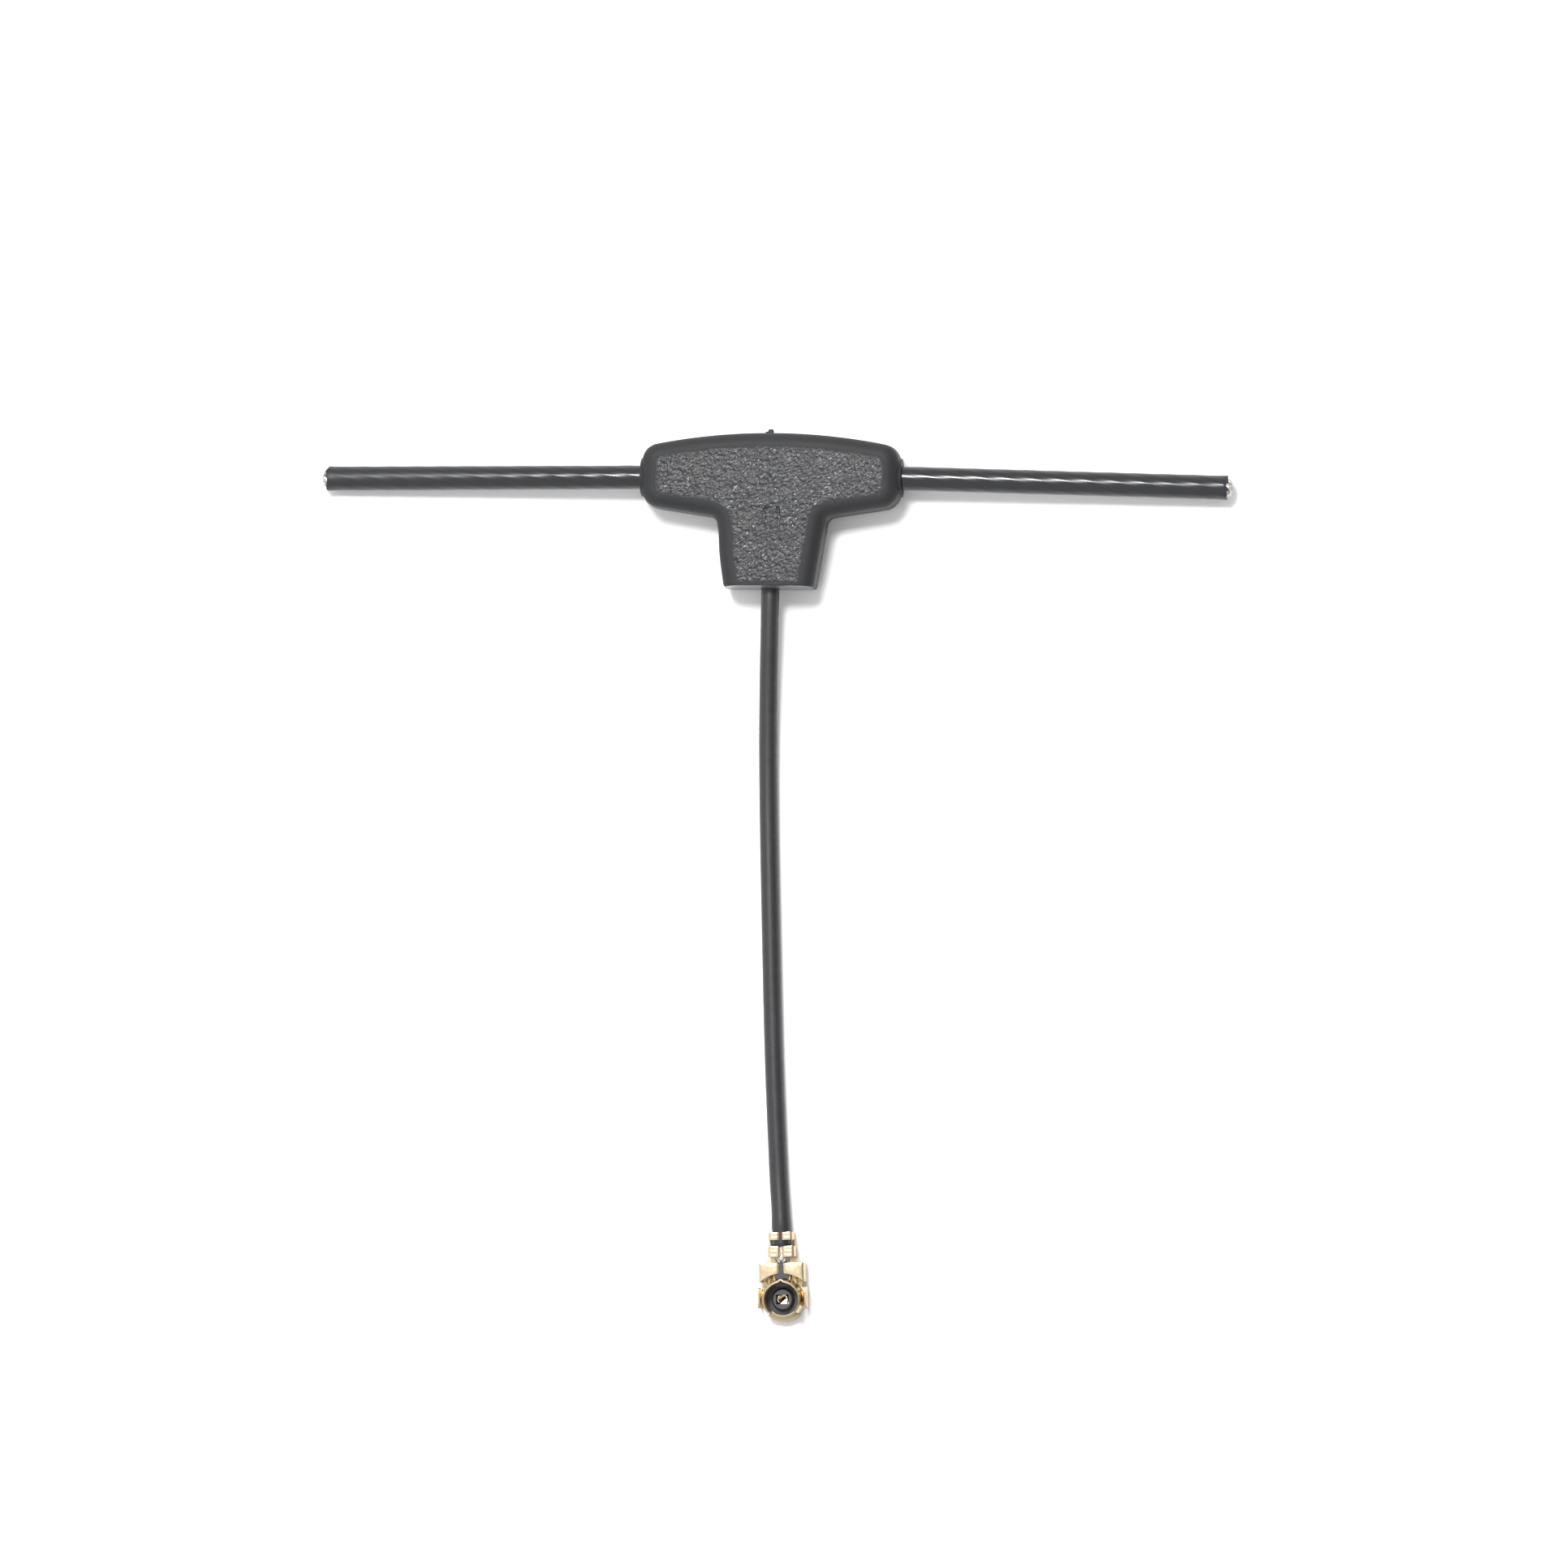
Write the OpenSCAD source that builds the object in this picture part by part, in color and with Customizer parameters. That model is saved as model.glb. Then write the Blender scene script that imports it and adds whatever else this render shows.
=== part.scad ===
// T-shaped dipole antenna with a short coaxial lead.
// Two insulated stranded arms and the lead leave one moulded housing, and the
// lead ends in a stamped and crimped micro coax plug that faces up.
// Millimetres, Z up. The origin is on the flat back of the housing, below the
// point where the arm axis crosses the centreline. X runs along the arms and
// the stem points to -Y.

/* [Housing] */
// Width over the two end faces
housing_w = 16; // [14:0.2:19]
// Thickness from the flat back to the flat front
housing_t = 3.4; // [3.2:0.1:4.4]
// Rise of the crowned edge above the arm axis, at the middle
crown_h = 2.73; // [2.5:0.01:3.2]
// Radius of the crowned edge
crown_r = 37; // [25:1:60]
// Drop of the wing's underside below the arm axis, at the end face
wing_drop = 1.8; // [1.6:0.05:2.1]
// Drop of the wing's underside below the arm axis, at the stem
waist_drop = 2.5; // [2.3:0.01:3]
// Reach of the stem below the arm axis
stem_l = 6.9; // [5.6:0.02:8]
// Width of the stem where it leaves the wings
stem_root_w = 7.06; // [6.2:0.02:8.4]
// Width of the stem at its end
stem_end_w = 5.64; // [4.6:0.02:6]

/* [Housing edges] */
// Corner radius of the outline at the parting line
corner_r = 1.1; // [0.8:0.05:1.3]
// Fillet radius between wing and stem at the parting line
waist_r = 0.55; // [0.4:0.05:1.4]
// Corner radius at the end of the stem
stem_corner_r = 0.2; // [0.1:0.05:0.4]
// Corner radius of the flat front and back
face_corner_r = 0.4; // [0.2:0.05:0.7]
// Height of the rounded edge
edge_h = 0.8; // [0.5:0.05:1.1]
// Width of the rounded edge along the crown
crown_edge = 0.85; // [0.5:0.05:1]
// Width of the rounded edge along the end faces
end_edge = 0.9; // [0.5:0.05:1.2]
// Width of the rounded edge along the wing's underside
wing_edge = 0.75; // [0.5:0.05:1.1]
// Width of the rounded edge along the sides of the stem
stem_edge = 0.9; // [0.5:0.05:1.3]
// Width of the broken edge at the end of the stem
stem_end_edge = 0.08; // [0.04:0.02:0.3]
// Draft angle of the side walls, in degrees
draft = 3; // [1:0.5:5]
// Diameter of the shut-off land around each arm
land_d = 2.4; // [2.1:0.05:2.6]
// Height of the shut-off land over the end face
land_h = 0.09; // [0.05:0.01:0.3]
// Diameter of the gate stub at the top of the crown
gate_d = 0.3; // [0.2:0.02:0.6]
// Height of the gate stub over the crown
gate_h = 0.25; // [0.1:0.05:0.5]
// Depth of the sink mark over the lead
sink_depth = 0.03; // [0.02:0.01:0.1]
// Width of the sink mark's groove
sink_w = 0.08; // [0.05:0.01:0.15]

/* [Arms] */
// Diameter over the jacket of an arm
arm_d = 1.45; // [1.35:0.01:1.6]
// Wall of the arm's jacket
arm_wall = 0.125; // [0.1:0.005:0.16]
// Length of the left jacket outside the housing
left_arm_l = 19.9; // [14:0.1:24]
// Length of the right jacket outside the housing
right_arm_l = 20.1; // [14:0.1:24]
// Angle by which the left arm leans towards the stem, in degrees
left_droop = 0.2; // [0:0.1:3]
// Angle by which the right arm leans towards the stem, in degrees
right_droop = 1.3; // [0:0.1:3]
// Gap between the left arm's tip and the surface below
left_tip_gap = 0.16; // [0.05:0.01:0.9]
// Gap between the right arm's tip and the surface below
right_tip_gap = 0.45; // [0.05:0.01:0.9]
// Length of jacket held inside the housing
arm_seat = 5.4; // [4.8:0.1:5.6]
// Squeeze on the jacket's radius at its inner end
seat_squeeze = 0.04; // [0.02:0.01:0.08]
// Rounding at the cut end of the jacket
jacket_edge = 0.05; // [0.02:0.01:0.08]
// Length of bare strand that stands out of the jacket
strand_tip = 0.4; // [0.1:0.05:0.8]
// Length of one turn of the strands
strand_lay = 10; // [8:0.5:20]

/* [Joints in the housing] */
// Length of a solder joint
joint_l = 1.6; // [1.3:0.1:1.8]
// Diameter of a solder joint at its ends
joint_end_d = 1.4; // [1.32:0.02:1.5]
// Diameter of a solder joint at its middle
joint_mid_d = 1.64; // [1.56:0.02:1.8]
// Length of strand inside the solder joint
joint_grip = 1; // [0.8:0.05:1.1]
// Diameter of the braid's twisted pigtail
pigtail_d = 0.36; // [0.3:0.01:0.38]

/* [Coaxial lead] */
// Diameter over the lead's jacket
lead_d = 1.13; // [1.08:0.01:1.18]
// Diameter over the braid
braid_d = 0.9; // [0.84:0.01:0.96]
// Diameter over the dielectric
dielectric_d = 0.68; // [0.6:0.01:0.7]
// Diameter of the inner conductor
conductor_d = 0.24; // [0.2:0.01:0.3]

/* [Plug shell] */
// Thickness of the stamped sheet
sheet = 0.12; // [0.1:0.01:0.13]
// Diameter of the socket's gripping land
socket_d = 2; // [1.9:0.02:2.06]
// Length of the gripping land
grip_l = 0.6; // [0.5:0.02:0.7]
// Diameter over the barrel
barrel_d = 2.54; // [2.48:0.02:2.64]
// Height of the barrel's mouth
mouth_h = 1.9; // [1.85:0.01:2.1]
// Height of the hinged front of the barrel
hinge_h = 0.95; // [0.85:0.01:1.1]
// Reach of the hinged front from the barrel's axis
hinge_reach = 1.38; // [1.34:0.01:1.45]
// Angle of the barrel that the hinged front takes, in degrees
hinge_angle = 90; // [70:2:110]
// Width of the seam in the barrel
seam_w = 0.12; // [0.04:0.01:0.14]
// Width over the two ears
ear_w = 3; // [2.9:0.02:3.2]
// Length of an ear
ear_l = 1.27; // [1:0.01:1.5]
// Height of an ear
ear_h = 1.4; // [1:0.05:1.6]
// Distance of the ear's front edge ahead of the barrel's axis
ear_front = 0.52; // [0.4:0.01:0.6]
// Height of the neck arms
arm_plate_h = 1.16; // [1:0.01:1.2]

/* [Plug bands] */
// Width over the neck band
neck_band_w = 2.86; // [2.8:0.01:2.98]
// Height of the neck band
neck_band_h = 1.45; // [1.4:0.01:1.6]
// Distance of the neck band's front corners behind the barrel's axis
neck_band_y = 1.08; // [1.04:0.01:1.2]
// Distance of the neck band's front edge at its middle behind the barrel's axis
neck_band_mid = 1.59; // [1.5:0.01:1.7]
// Radius of the neck band's front edge
neck_band_r = 2.04; // [1.8:0.02:2.6]
// Distance of the neck band's rear edge behind the barrel's axis
neck_band_rear = 2.23; // [2.1:0.01:2.3]
// Gap in the middle of the neck band
neck_gap = 0.3; // [0.2:0.02:0.4]
// Length of bare braid between the neck band and the braid crimp
braid_show = 0.38; // [0.3:0.01:0.5]
// Length of the braid crimp
braid_crimp_l = 0.66; // [0.5:0.01:0.8]
// Width over the braid crimp
braid_crimp_w = 1.7; // [1.6:0.01:1.8]
// Length of jacket that shows between the two crimps
crimp_gap = 0.38; // [0.3:0.01:0.5]
// Length of the jacket crimp
jacket_crimp_l = 0.48; // [0.4:0.01:0.6]
// Width over the jacket crimp
jacket_crimp_w = 1.55; // [1.5:0.01:1.7]
// Gap between the two wings of a crimp
crimp_seam = 0.13; // [0.06:0.01:0.2]
// Outer corner radius of the bands
band_corner_r = 0.25; // [0.2:0.01:0.3]
// Height of the low channel walls between the crimps
channel_h = 0.5; // [0.3:0.05:0.7]

/* [Plug core] */
// Diameter of the insulator's round body
body_d = 2.16; // [2.08:0.02:2.18]
// Thickness of plastic over the contact's tongue, in the channel
tongue_cover = 0.055; // [0.04:0.005:0.1]
// Diameter of the boss at the channel floor
boss_base_d = 1.44; // [1.36:0.02:1.56]
// Diameter of the boss at its top
boss_d = 1.16; // [1.1:0.02:1.24]
// Height of the boss
boss_h = 1.22; // [1.16:0.01:1.24]
// Width of the pocket in the boss
pocket_w = 0.78; // [0.74:0.01:0.82]
// Length of the pocket in the boss
pocket_l = 0.58; // [0.54:0.01:0.62]
// Width of the insulator's neck
neck_w = 0.84; // [0.8:0.01:0.9]
// Width of the contact's tongue
tongue_w = 0.34; // [0.3:0.01:0.36]
// Thickness of a contact prong
prong_t = 0.13; // [0.1:0.01:0.14]
// Length of a contact prong
prong_l = 0.39; // [0.3:0.01:0.46]
// Height of a prong's tip
prong_h = 1.14; // [1.08:0.01:1.16]

/* [Hidden] */

$fn = 48;
cut = 0.05;
axis_z = housing_t / 2;

// Housing
corner_steps = 5;
crown_steps = 8;
edge_steps = 5;
end_x = housing_w / 2;
draft_in = (housing_t / 2 - edge_h) * tan(draft);
land_root = 0.6;
gate_x = -0.1;
gate_taper = 0.75;
gate_root = 0.2;
nub_x = -0.35;
nub_share = 0.5;
sink_top = -1.9;

// Arms
arm_r = arm_d / 2;
core_r = arm_r - arm_wall;
strand_fit = 0.002;
strand_gap = 0.004;
strand_sides = 6;
strands_round = 6;
barrel_sides = 96;
strand_pitch_r = (core_r - strand_fit) * 2 / 3;
strand_r = (core_r - strand_fit - strand_gap) / 3;
slices_per_turn = 14;
nip_angle = 12;
seat_past_land = 0.12;
seat_out = land_h + seat_past_land;
left_dip = asin((axis_z - arm_r - left_tip_gap) / left_arm_l);
right_dip = asin((axis_z - arm_r - right_tip_gap) / right_arm_l);

// Plug: the barrel's axis stands at plug_at and the lead leaves it at
// plug_turn from +Y
plug_at = [1.38, -50.57, 0];
plug_turn = 2.6;
lead_z = sheet + lead_d / 2;
lead_in = 0.5;
braid_rise = (lead_d - braid_d) / 2;
braid_crimp_y = neck_band_rear + braid_show;
braid_crimp_end = braid_crimp_y + braid_crimp_l;
jacket_crimp_y = braid_crimp_end + crimp_gap;
tail_y = jacket_crimp_y + jacket_crimp_l;
braid_inset = 0.02;
braid_end_y = neck_band_rear + braid_inset;
dielectric_end_y = 1.7;
core_end_y = 1.25;
socket_r = socket_d / 2;
barrel_r = barrel_d / 2;
base_r = barrel_r - sheet;
mouth_flare = 0.05;
shoulder_h = 0.45;
grip_z = mouth_h - mouth_flare - grip_l;
body_r = body_d / 2;
neck_top = neck_band_h - sheet;
neck_front = 0.8;
pocket_fit = 0.01;
neck_high_from = barrel_r + pocket_fit;
plate_over_neck = 0.04;
neck_low_h = arm_plate_h - plate_over_neck;
arm_plate_x = neck_w / 2;
side_plate_x = 0.77;
side_plate_h = 0.98;
pocket_floor = lead_z - conductor_d / 2 - sheet;
floor_h = pocket_floor + sheet + tongue_cover;
hinge_slant = 0.04;

// Route of the lead: the conductor's end in the left joint, the ends of the
// dielectric, braid and jacket, the stretch outside the housing, and the plug
function at_plug(y, z) = plug_at + [-y * sin(plug_turn), y * cos(plug_turn), z];
lie_gap = 0.005;
lie = lead_d / 2 + lie_gap;
route = [
    [-1.55, 0.05, 1.95], [-0.95, 0, 1.9], [-0.4, -0.3, 1.85], [0, -0.8, axis_z],
    [0, -1, axis_z], [0, -1.5, axis_z], [0, -1.9, axis_z], [0, -6.9, axis_z],
    [-0.03, -9.5, 1.5], [-0.08, -12.5, 1.15], [-0.1, -15.5, 0.85], [-0.07, -18.5, 0.65],
    [0.02, -22, lie], [0.14, -25.5, lie], [0.27, -29, lie], [0.4, -32.5, lie],
    [0.55, -36, lie], [0.74, -39.5, lie], [0.95, -43, lie],
    at_plug(tail_y + lead_in, lead_z), at_plug(tail_y, lead_z),
    at_plug(braid_crimp_end, lead_z), at_plug(braid_crimp_y, lead_z),
    at_plug(braid_end_y, lead_z), at_plug(dielectric_end_y, lead_z),
    at_plug(core_end_y, lead_z)];
route_last = len(route) - 1;
dielectric_from = 4;
braid_from = 5;
jacket_from = 6;
jacket_to = route_last - 4;
braid_to = route_last - 2;
dielectric_to = route_last - 1;
pigtail_x = (dielectric_d + pigtail_d) / 2 + pocket_fit;
pigtail_route = [
    [pigtail_x, -1.5, axis_z], [pigtail_x, -1.2, axis_z], [0.8, -0.6, 1.78],
    [1.15, -0.1, 1.84], [1.5, 0.1, 1.86]];
sides = 8;
layer_step = 1;

dark = "#46484b";
jacket_black = "#2b2c2e";
lead_black = "#3a3b3d";
silver = "#b9b7b0";
gold = "#d8bf84";
contact_black = "#303235";

// Geometry helpers

// Point where two lines meet; a line is [point, heading in degrees]
function way(line) = [cos(line[1]), sin(line[1])];
function meet(a, b) =
    let (
        u = way(a),
        v = way(b),
        gap = b[0] - a[0],
        k = (gap.x * v.y - gap.y * v.x) / (u.x * v.y - u.y * v.x)
    )
    a[0] + k * u;

// A line moved to its left by d
function shifted(line, d) = [line[0] + d * [-sin(line[1]), cos(line[1])], line[1]];

function arc(centre, r, from, to, steps) =
    [for (i = [0:steps]) let (a = from + (to - from) * i / steps) centre + r * [cos(a), sin(a)]];

// Round between two lines, convex where the way turns left
function rounding(a, b, r, steps) =
    let (
        turn = b[1] > a[1] ? 1 : -1,
        centre = meet(shifted(a, turn * r), shifted(b, turn * r))
    )
    arc(centre, r, a[1] - turn * 90, b[1] - turn * 90, steps);

// Right half of the housing's outline from the stem's corner to the top of the
// crown. e is how far round the edge the level lies and g how far up the draft.
function half_outline(e, g) =
    let (
        stem_root = [stem_root_w / 2, -waist_drop],
        stem_end = [stem_end_w / 2, -stem_l],
        wing_tip = [end_x, -wing_drop],
        stem_way = atan2(stem_root.y - stem_end.y, stem_root.x - stem_end.x),
        wing_way = atan2(wing_tip.y - stem_root.y, wing_tip.x - stem_root.x),
        pull = draft_in * g,
        bottom = shifted([stem_end, 0], pull + stem_end_edge * e),
        stem = shifted([stem_end, stem_way], pull + stem_edge * e),
        wing = shifted([stem_root, wing_way], pull + wing_edge * e),
        end = shifted([wing_tip, 90], pull + end_edge * e),
        crown = crown_r - pull - crown_edge * e,
        r = corner_r + (face_corner_r - corner_r) * e,
        crown_centre = [0, crown_h - crown_r],
        top_x = end_x - pull - end_edge * e - r,
        top_corner = [top_x, crown_centre.y + sqrt(pow(crown - r, 2) - pow(top_x, 2))],
        crown_from = atan2(top_corner.y - crown_centre.y, top_x),
        crown_arc = arc(crown_centre, crown, crown_from, 90, crown_steps)
    )
    concat(
        rounding(bottom, stem, stem_corner_r, 2),
        rounding(stem, wing, waist_r + (stem_edge + wing_edge) / 2 * e, corner_steps),
        rounding(wing, end, r, corner_steps),
        arc(top_corner, r, 0, crown_from, corner_steps),
        [for (i = [1:crown_steps]) crown_arc[i]]);

// Levels of the upper half of the mould, from the parting line to the face
edge_levels = concat(
    [[axis_z, 0, 0]],
    [for (i = [0:edge_steps])
        let (a = 90 * i / edge_steps)
        [housing_t - edge_h + edge_h * sin(a), 1 - cos(a), 1]]);

function level(z, e, g) =
    let (
        half = half_outline(e, g),
        last = len(half) - 1
    )
    concat(
        [for (p = half) [p.x, p.y, z]],
        [for (i = [last - 1:-1:0]) [-half[i].x, half[i].y, z]]);

// Closed solid through a list of rings with the same number of points.
// cap_low and cap_high close its ends.
module skin(rings, cap_low, cap_high) {
    n = len(rings[0]);
    top = len(rings) - 1;
    walls = [for (j = [0:top - 1], i = [0:n - 1])
        [j * n + i, (j + 1) * n + i, (j + 1) * n + (i + 1) % n, j * n + (i + 1) % n]];
    high = [for (f = cap_high) [for (i = f) top * n + i]];
    polyhedron(points = [for (ring = rings) each ring], faces = concat(cap_low, walls, high));
}

// Ring of a swept cord around station i of a route
function unit(v) = v / norm(v);
function cord_ring(p, i, r) =
    let (
        ahead = unit(p[min(i + 1, len(p) - 1)] - p[max(i - 1, 0)]),
        side = unit(cross([0, 0, 1], ahead)),
        up = cross(ahead, side)
    )
    [for (k = [0:sides - 1]) p[i] + r * (cos(360 * k / sides) * side + sin(360 * k / sides) * up)];

module cord(p, from, to, r) {
    rings = [for (i = [from:to]) cord_ring(p, i, r)];
    skin(rings, [[for (i = [0:sides - 1]) i]], [[for (i = [sides - 1:-1:0]) i]]);
}

// A cord with a bore: its rings run out along the outside and back inside
module cord_tube(p, from, to, r, bore) {
    outer = [for (i = [from:to]) each cord_ring(p, i, r)];
    inner = [for (i = [from:to]) each cord_ring(p, i, bore)];
    m = len(outer);
    n = to - from;
    walls = [for (j = [0:n - 1], i = [0:sides - 1])
        let (a = j * sides + i, b = j * sides + (i + 1) % sides)
        [a, a + sides, b + sides, b]];
    bores = [for (f = walls) [m + f[0], m + f[3], m + f[2], m + f[1]]];
    start = [for (i = [0:sides - 1])
        let (k = (i + 1) % sides)
        [i, k, m + k, m + i]];
    finish = [for (f = start) [for (i = f) i + n * sides]];
    turned = [for (f = finish) [f[3], f[2], f[1], f[0]]];
    polyhedron(points = concat(outer, inner), faces = concat(walls, bores, start, turned));
}

// Rectangle with round corners, standing on the X axis
module round_rect(w, h, r) {
    translate([-w / 2, r]) square([w, h - 2 * r]);
    translate([-w / 2 + r, 0]) square([w - 2 * r, h]);
    for (x = [-1, 1], y = [r, h - r])
        translate([x * (w / 2 - r), y]) circle(r);
}

// Places its children on an arm: Z runs out along the arm from the end face
module on_arm(side) {
    dip = side > 0 ? right_dip : left_dip;
    lean = side > 0 ? -right_droop : 180 + left_droop;
    translate([side * end_x, 0, axis_z]) rotate([0, 90 + dip, lean]) children();
}

// Places its children on the plug
module on_plug() {
    translate(plug_at) rotate([0, 0, plug_turn]) children();
}

// Housing

module housing_body() {
    up = edge_levels;
    count = len(up);
    down = [for (i = [count - 1:-1:1]) [housing_t - up[i][0], up[i][1], up[i][2]]];
    rings = [for (v = concat(down, up)) level(v[0], v[1], v[2])];
    n = len(rings[0]);
    mid = (n - 1) / 2;
    low = concat([for (i = [0:mid - 2]) [i, i + 1, n - 2 - i, n - 1 - i]], [[mid - 1, mid, mid + 1]]);
    high = [for (f = low) [for (i = [len(f) - 1:-1:0]) f[i]]];
    skin(rings, low, high);
}

module shut_off_land(side) {
    translate([side * (end_x + land_h), 0, axis_z]) rotate([0, -side * 90, 0])
        cylinder(d = land_d, h = land_root + land_h);
}

module gate_stub(x, share) {
    translate([x, crown_h - gate_root, axis_z]) rotate([-90, 0, 0])
        cylinder(d1 = gate_d * share, d2 = gate_d * share * gate_taper, h = gate_root + gate_h * share);
}

// Arch-shaped mark where the plastic has sunk over the end of the lead
module sink_mark() {
    reach = stem_l + sink_top;
    translate([0, sink_top, housing_t - sink_depth]) linear_extrude(sink_depth + cut)
        difference() {
            rotate(180) round_rect(lead_d + 2 * sink_w, reach - stem_end_edge, sink_w * 3);
            translate([0, -sink_w]) rotate(180) round_rect(lead_d, reach, sink_w * 2);
        }
}

// Space that an arm's jacket takes in the housing and in its land
module arm_space(side) {
    on_arm(side) translate([0, 0, -arm_seat])
        cylinder(r1 = arm_r - seat_squeeze, r2 = arm_r, h = arm_seat + seat_out);
}

module lead_space() {
    translate([0, 0, axis_z]) rotate([90, 0, 0]) {
        translate([0, 0, -route[jacket_from].y]) cylinder(d = lead_d, h = stem_l);
        translate([0, 0, -route[braid_from].y]) cylinder(d = braid_d, h = layer_step);
        translate([0, 0, -route[dielectric_from].y]) cylinder(d = dielectric_d, h = layer_step);
    }
}

module t_housing() {
    color(dark) difference() {
        union() {
            housing_body();
            shut_off_land(-1);
            shut_off_land(1);
            gate_stub(gate_x, 1);
            gate_stub(nub_x, nub_share);
        }
        arm_space(-1);
        arm_space(1);
        joint_barrel(-1);
        joint_barrel(1);
        lead_space();
        cord(route, 0, dielectric_from, conductor_d / 2);
        cord(pigtail_route, 0, len(pigtail_route) - 1, pigtail_d / 2);
        sink_mark();
    }
}

// Arms

module arm_jacket(side, length) {
    color(jacket_black) on_arm(side) rotate_extrude()
        polygon([
            [core_r, -arm_seat], [arm_r - seat_squeeze, -arm_seat], [arm_r, seat_out],
            [arm_r, length - jacket_edge], [arm_r - jacket_edge, length], [core_r, length]]);
}

module left_arm_jacket() { arm_jacket(-1, left_arm_l); }
module right_arm_jacket() { arm_jacket(1, right_arm_l); }

// Seven strands, one in the middle and six around it, cut to a blunt wedge
module arm_strands(side, length) {
    inner = arm_seat + joint_grip;
    total = inner + length + strand_tip;
    turn = 360 * total / strand_lay;
    color(silver) on_arm(side) difference() {
        translate([0, 0, -inner])
            linear_extrude(height = total, twist = -turn,
                           slices = ceil(slices_per_turn * turn / 360), $fn = strand_sides)
                strand_section();
        for (a = [0, 180])
            rotate([0, 0, a]) translate([0, -arm_d, length + strand_tip])
                rotate([0, nip_angle, 0]) cube([arm_d, 2 * arm_d, arm_d]);
    }
}

module strand_section() {
    circle(strand_r);
    for (i = [0:strands_round - 1])
        rotate(360 * i / strands_round) translate([strand_pitch_r, 0]) circle(strand_r);
}

module left_arm_strands() { arm_strands(-1, left_arm_l); }
module right_arm_strands() { arm_strands(1, right_arm_l); }

// Barrel of solder against the inner end of an arm's jacket
module joint_barrel(side) {
    sag = (joint_mid_d - joint_end_d) / 2;
    bulge_r = (pow(joint_l / 2, 2) + pow(sag, 2)) / (2 * sag);
    on_arm(side) translate([0, 0, -arm_seat - joint_l / 2]) rotate_extrude()
        intersection() {
            translate([joint_mid_d / 2 - bulge_r, 0]) circle(bulge_r, $fn = barrel_sides);
            translate([0, -joint_l / 2]) square([joint_mid_d, joint_l]);
        }
}

module solder_joint(side) {
    color(silver) difference() {
        joint_barrel(side);
        on_arm(side) translate([0, 0, -arm_seat - joint_grip]) cylinder(r = core_r, h = joint_l);
        children();
    }
}

module left_solder_joint() {
    solder_joint(-1) cord(route, 0, dielectric_from, conductor_d / 2);
}

module right_solder_joint() {
    solder_joint(1) cord(pigtail_route, 0, len(pigtail_route) - 1, pigtail_d / 2);
}

// Lead, from the outside in

module cable_jacket() {
    color(lead_black) cord_tube(route, jacket_from, jacket_to, lead_d / 2, braid_d / 2);
}

module cable_braid() {
    color(silver) {
        cord_tube(route, braid_from, braid_to, braid_d / 2, dielectric_d / 2);
        cord(pigtail_route, 0, len(pigtail_route) - 1, pigtail_d / 2);
    }
}

module cable_dielectric() {
    color("white") cord_tube(route, dielectric_from, dielectric_to, dielectric_d / 2, conductor_d / 2);
}

module cable_core() {
    color(silver) cord(route, 0, route_last, conductor_d / 2);
}

// Plug shell

// Sheet wrapped into a flat-topped band with a seam on top
module band(w, h, from, to, gap) {
    translate([0, to, 0]) rotate([90, 0, 0]) linear_extrude(to - from)
        difference() {
            round_rect(w, h, band_corner_r);
            translate([0, sheet]) round_rect(w - 2 * sheet, h - 2 * sheet, band_corner_r - sheet);
            translate([-gap / 2, h / 2]) square([gap, h]);
        }
}

// The neck band's front edge curves round the barrel, above the side walls
module neck_band() {
    difference() {
        band(neck_band_w, neck_band_h, neck_band_y, neck_band_rear, neck_gap);
        translate([0, neck_band_mid - neck_band_r, neck_band_h - band_corner_r])
            cylinder(r = neck_band_r, h = neck_band_h);
    }
}

module base_plate() {
    half_neck = neck_band_w / 2 - band_corner_r;
    half_crimp = jacket_crimp_w / 2 - band_corner_r;
    linear_extrude(sheet) {
        circle(barrel_r);
        translate([-ear_w / 2, -ear_front]) square([ear_w, ear_l]);
        polygon([
            [-arm_plate_x * 2, 0], [arm_plate_x * 2, 0], [half_neck, neck_band_y],
            [half_neck, neck_band_rear], [half_crimp, braid_crimp_y], [half_crimp, tail_y],
            [-half_crimp, tail_y], [-half_crimp, braid_crimp_y], [-half_neck, neck_band_rear],
            [-half_neck, neck_band_y]]);
    }
}

// Barrel wall: it leans in over the base, grips along the land and flares at
// the mouth
module barrel_wall() {
    lip = socket_r + sheet;
    polygon([
        [base_r, 0], [base_r - mouth_flare / 2, grip_z - shoulder_h], [socket_r, grip_z],
        [socket_r, mouth_h - mouth_flare], [socket_r + mouth_flare, mouth_h],
        [lip + mouth_flare, mouth_h], [lip, mouth_h - 2 * mouth_flare],
        [lip, grip_z + mouth_flare], [barrel_r, grip_z - shoulder_h + mouth_flare], [barrel_r, 0]]);
}

// Hinged front: a strip that stands on the base and curls in over the channel
module hinge_strip() {
    curl = hinge_reach - (socket_r - mouth_flare);
    rise = hinge_h - curl;
    translate([hinge_reach - sheet, 0]) square([sheet, rise]);
    translate([hinge_reach - curl, rise]) intersection() {
        difference() {
            circle(curl);
            circle(curl - sheet);
        }
        polygon([[0, 0], [curl, 0], [curl, curl], [hinge_slant, curl]]);
    }
}

module ears() {
    for (side = [-1, 1])
        translate([side * (ear_w - sheet) / 2 - sheet / 2, -ear_front, 0]) cube([sheet, ear_l, ear_h]);
}

// Upright plates that tie the barrel to the neck band, on both sides
module neck_plates() {
    for (side = [-1, 1]) {
        translate([side * (arm_plate_x + sheet / 2) - sheet / 2, wall_y(arm_plate_x), 0])
            cube([sheet, neck_band_rear - wall_y(arm_plate_x), arm_plate_h]);
        translate([side * (side_plate_x + sheet / 2) - sheet / 2, wall_y(side_plate_x), 0])
            cube([sheet, neck_band_rear - wall_y(side_plate_x), side_plate_h]);
    }
}

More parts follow.
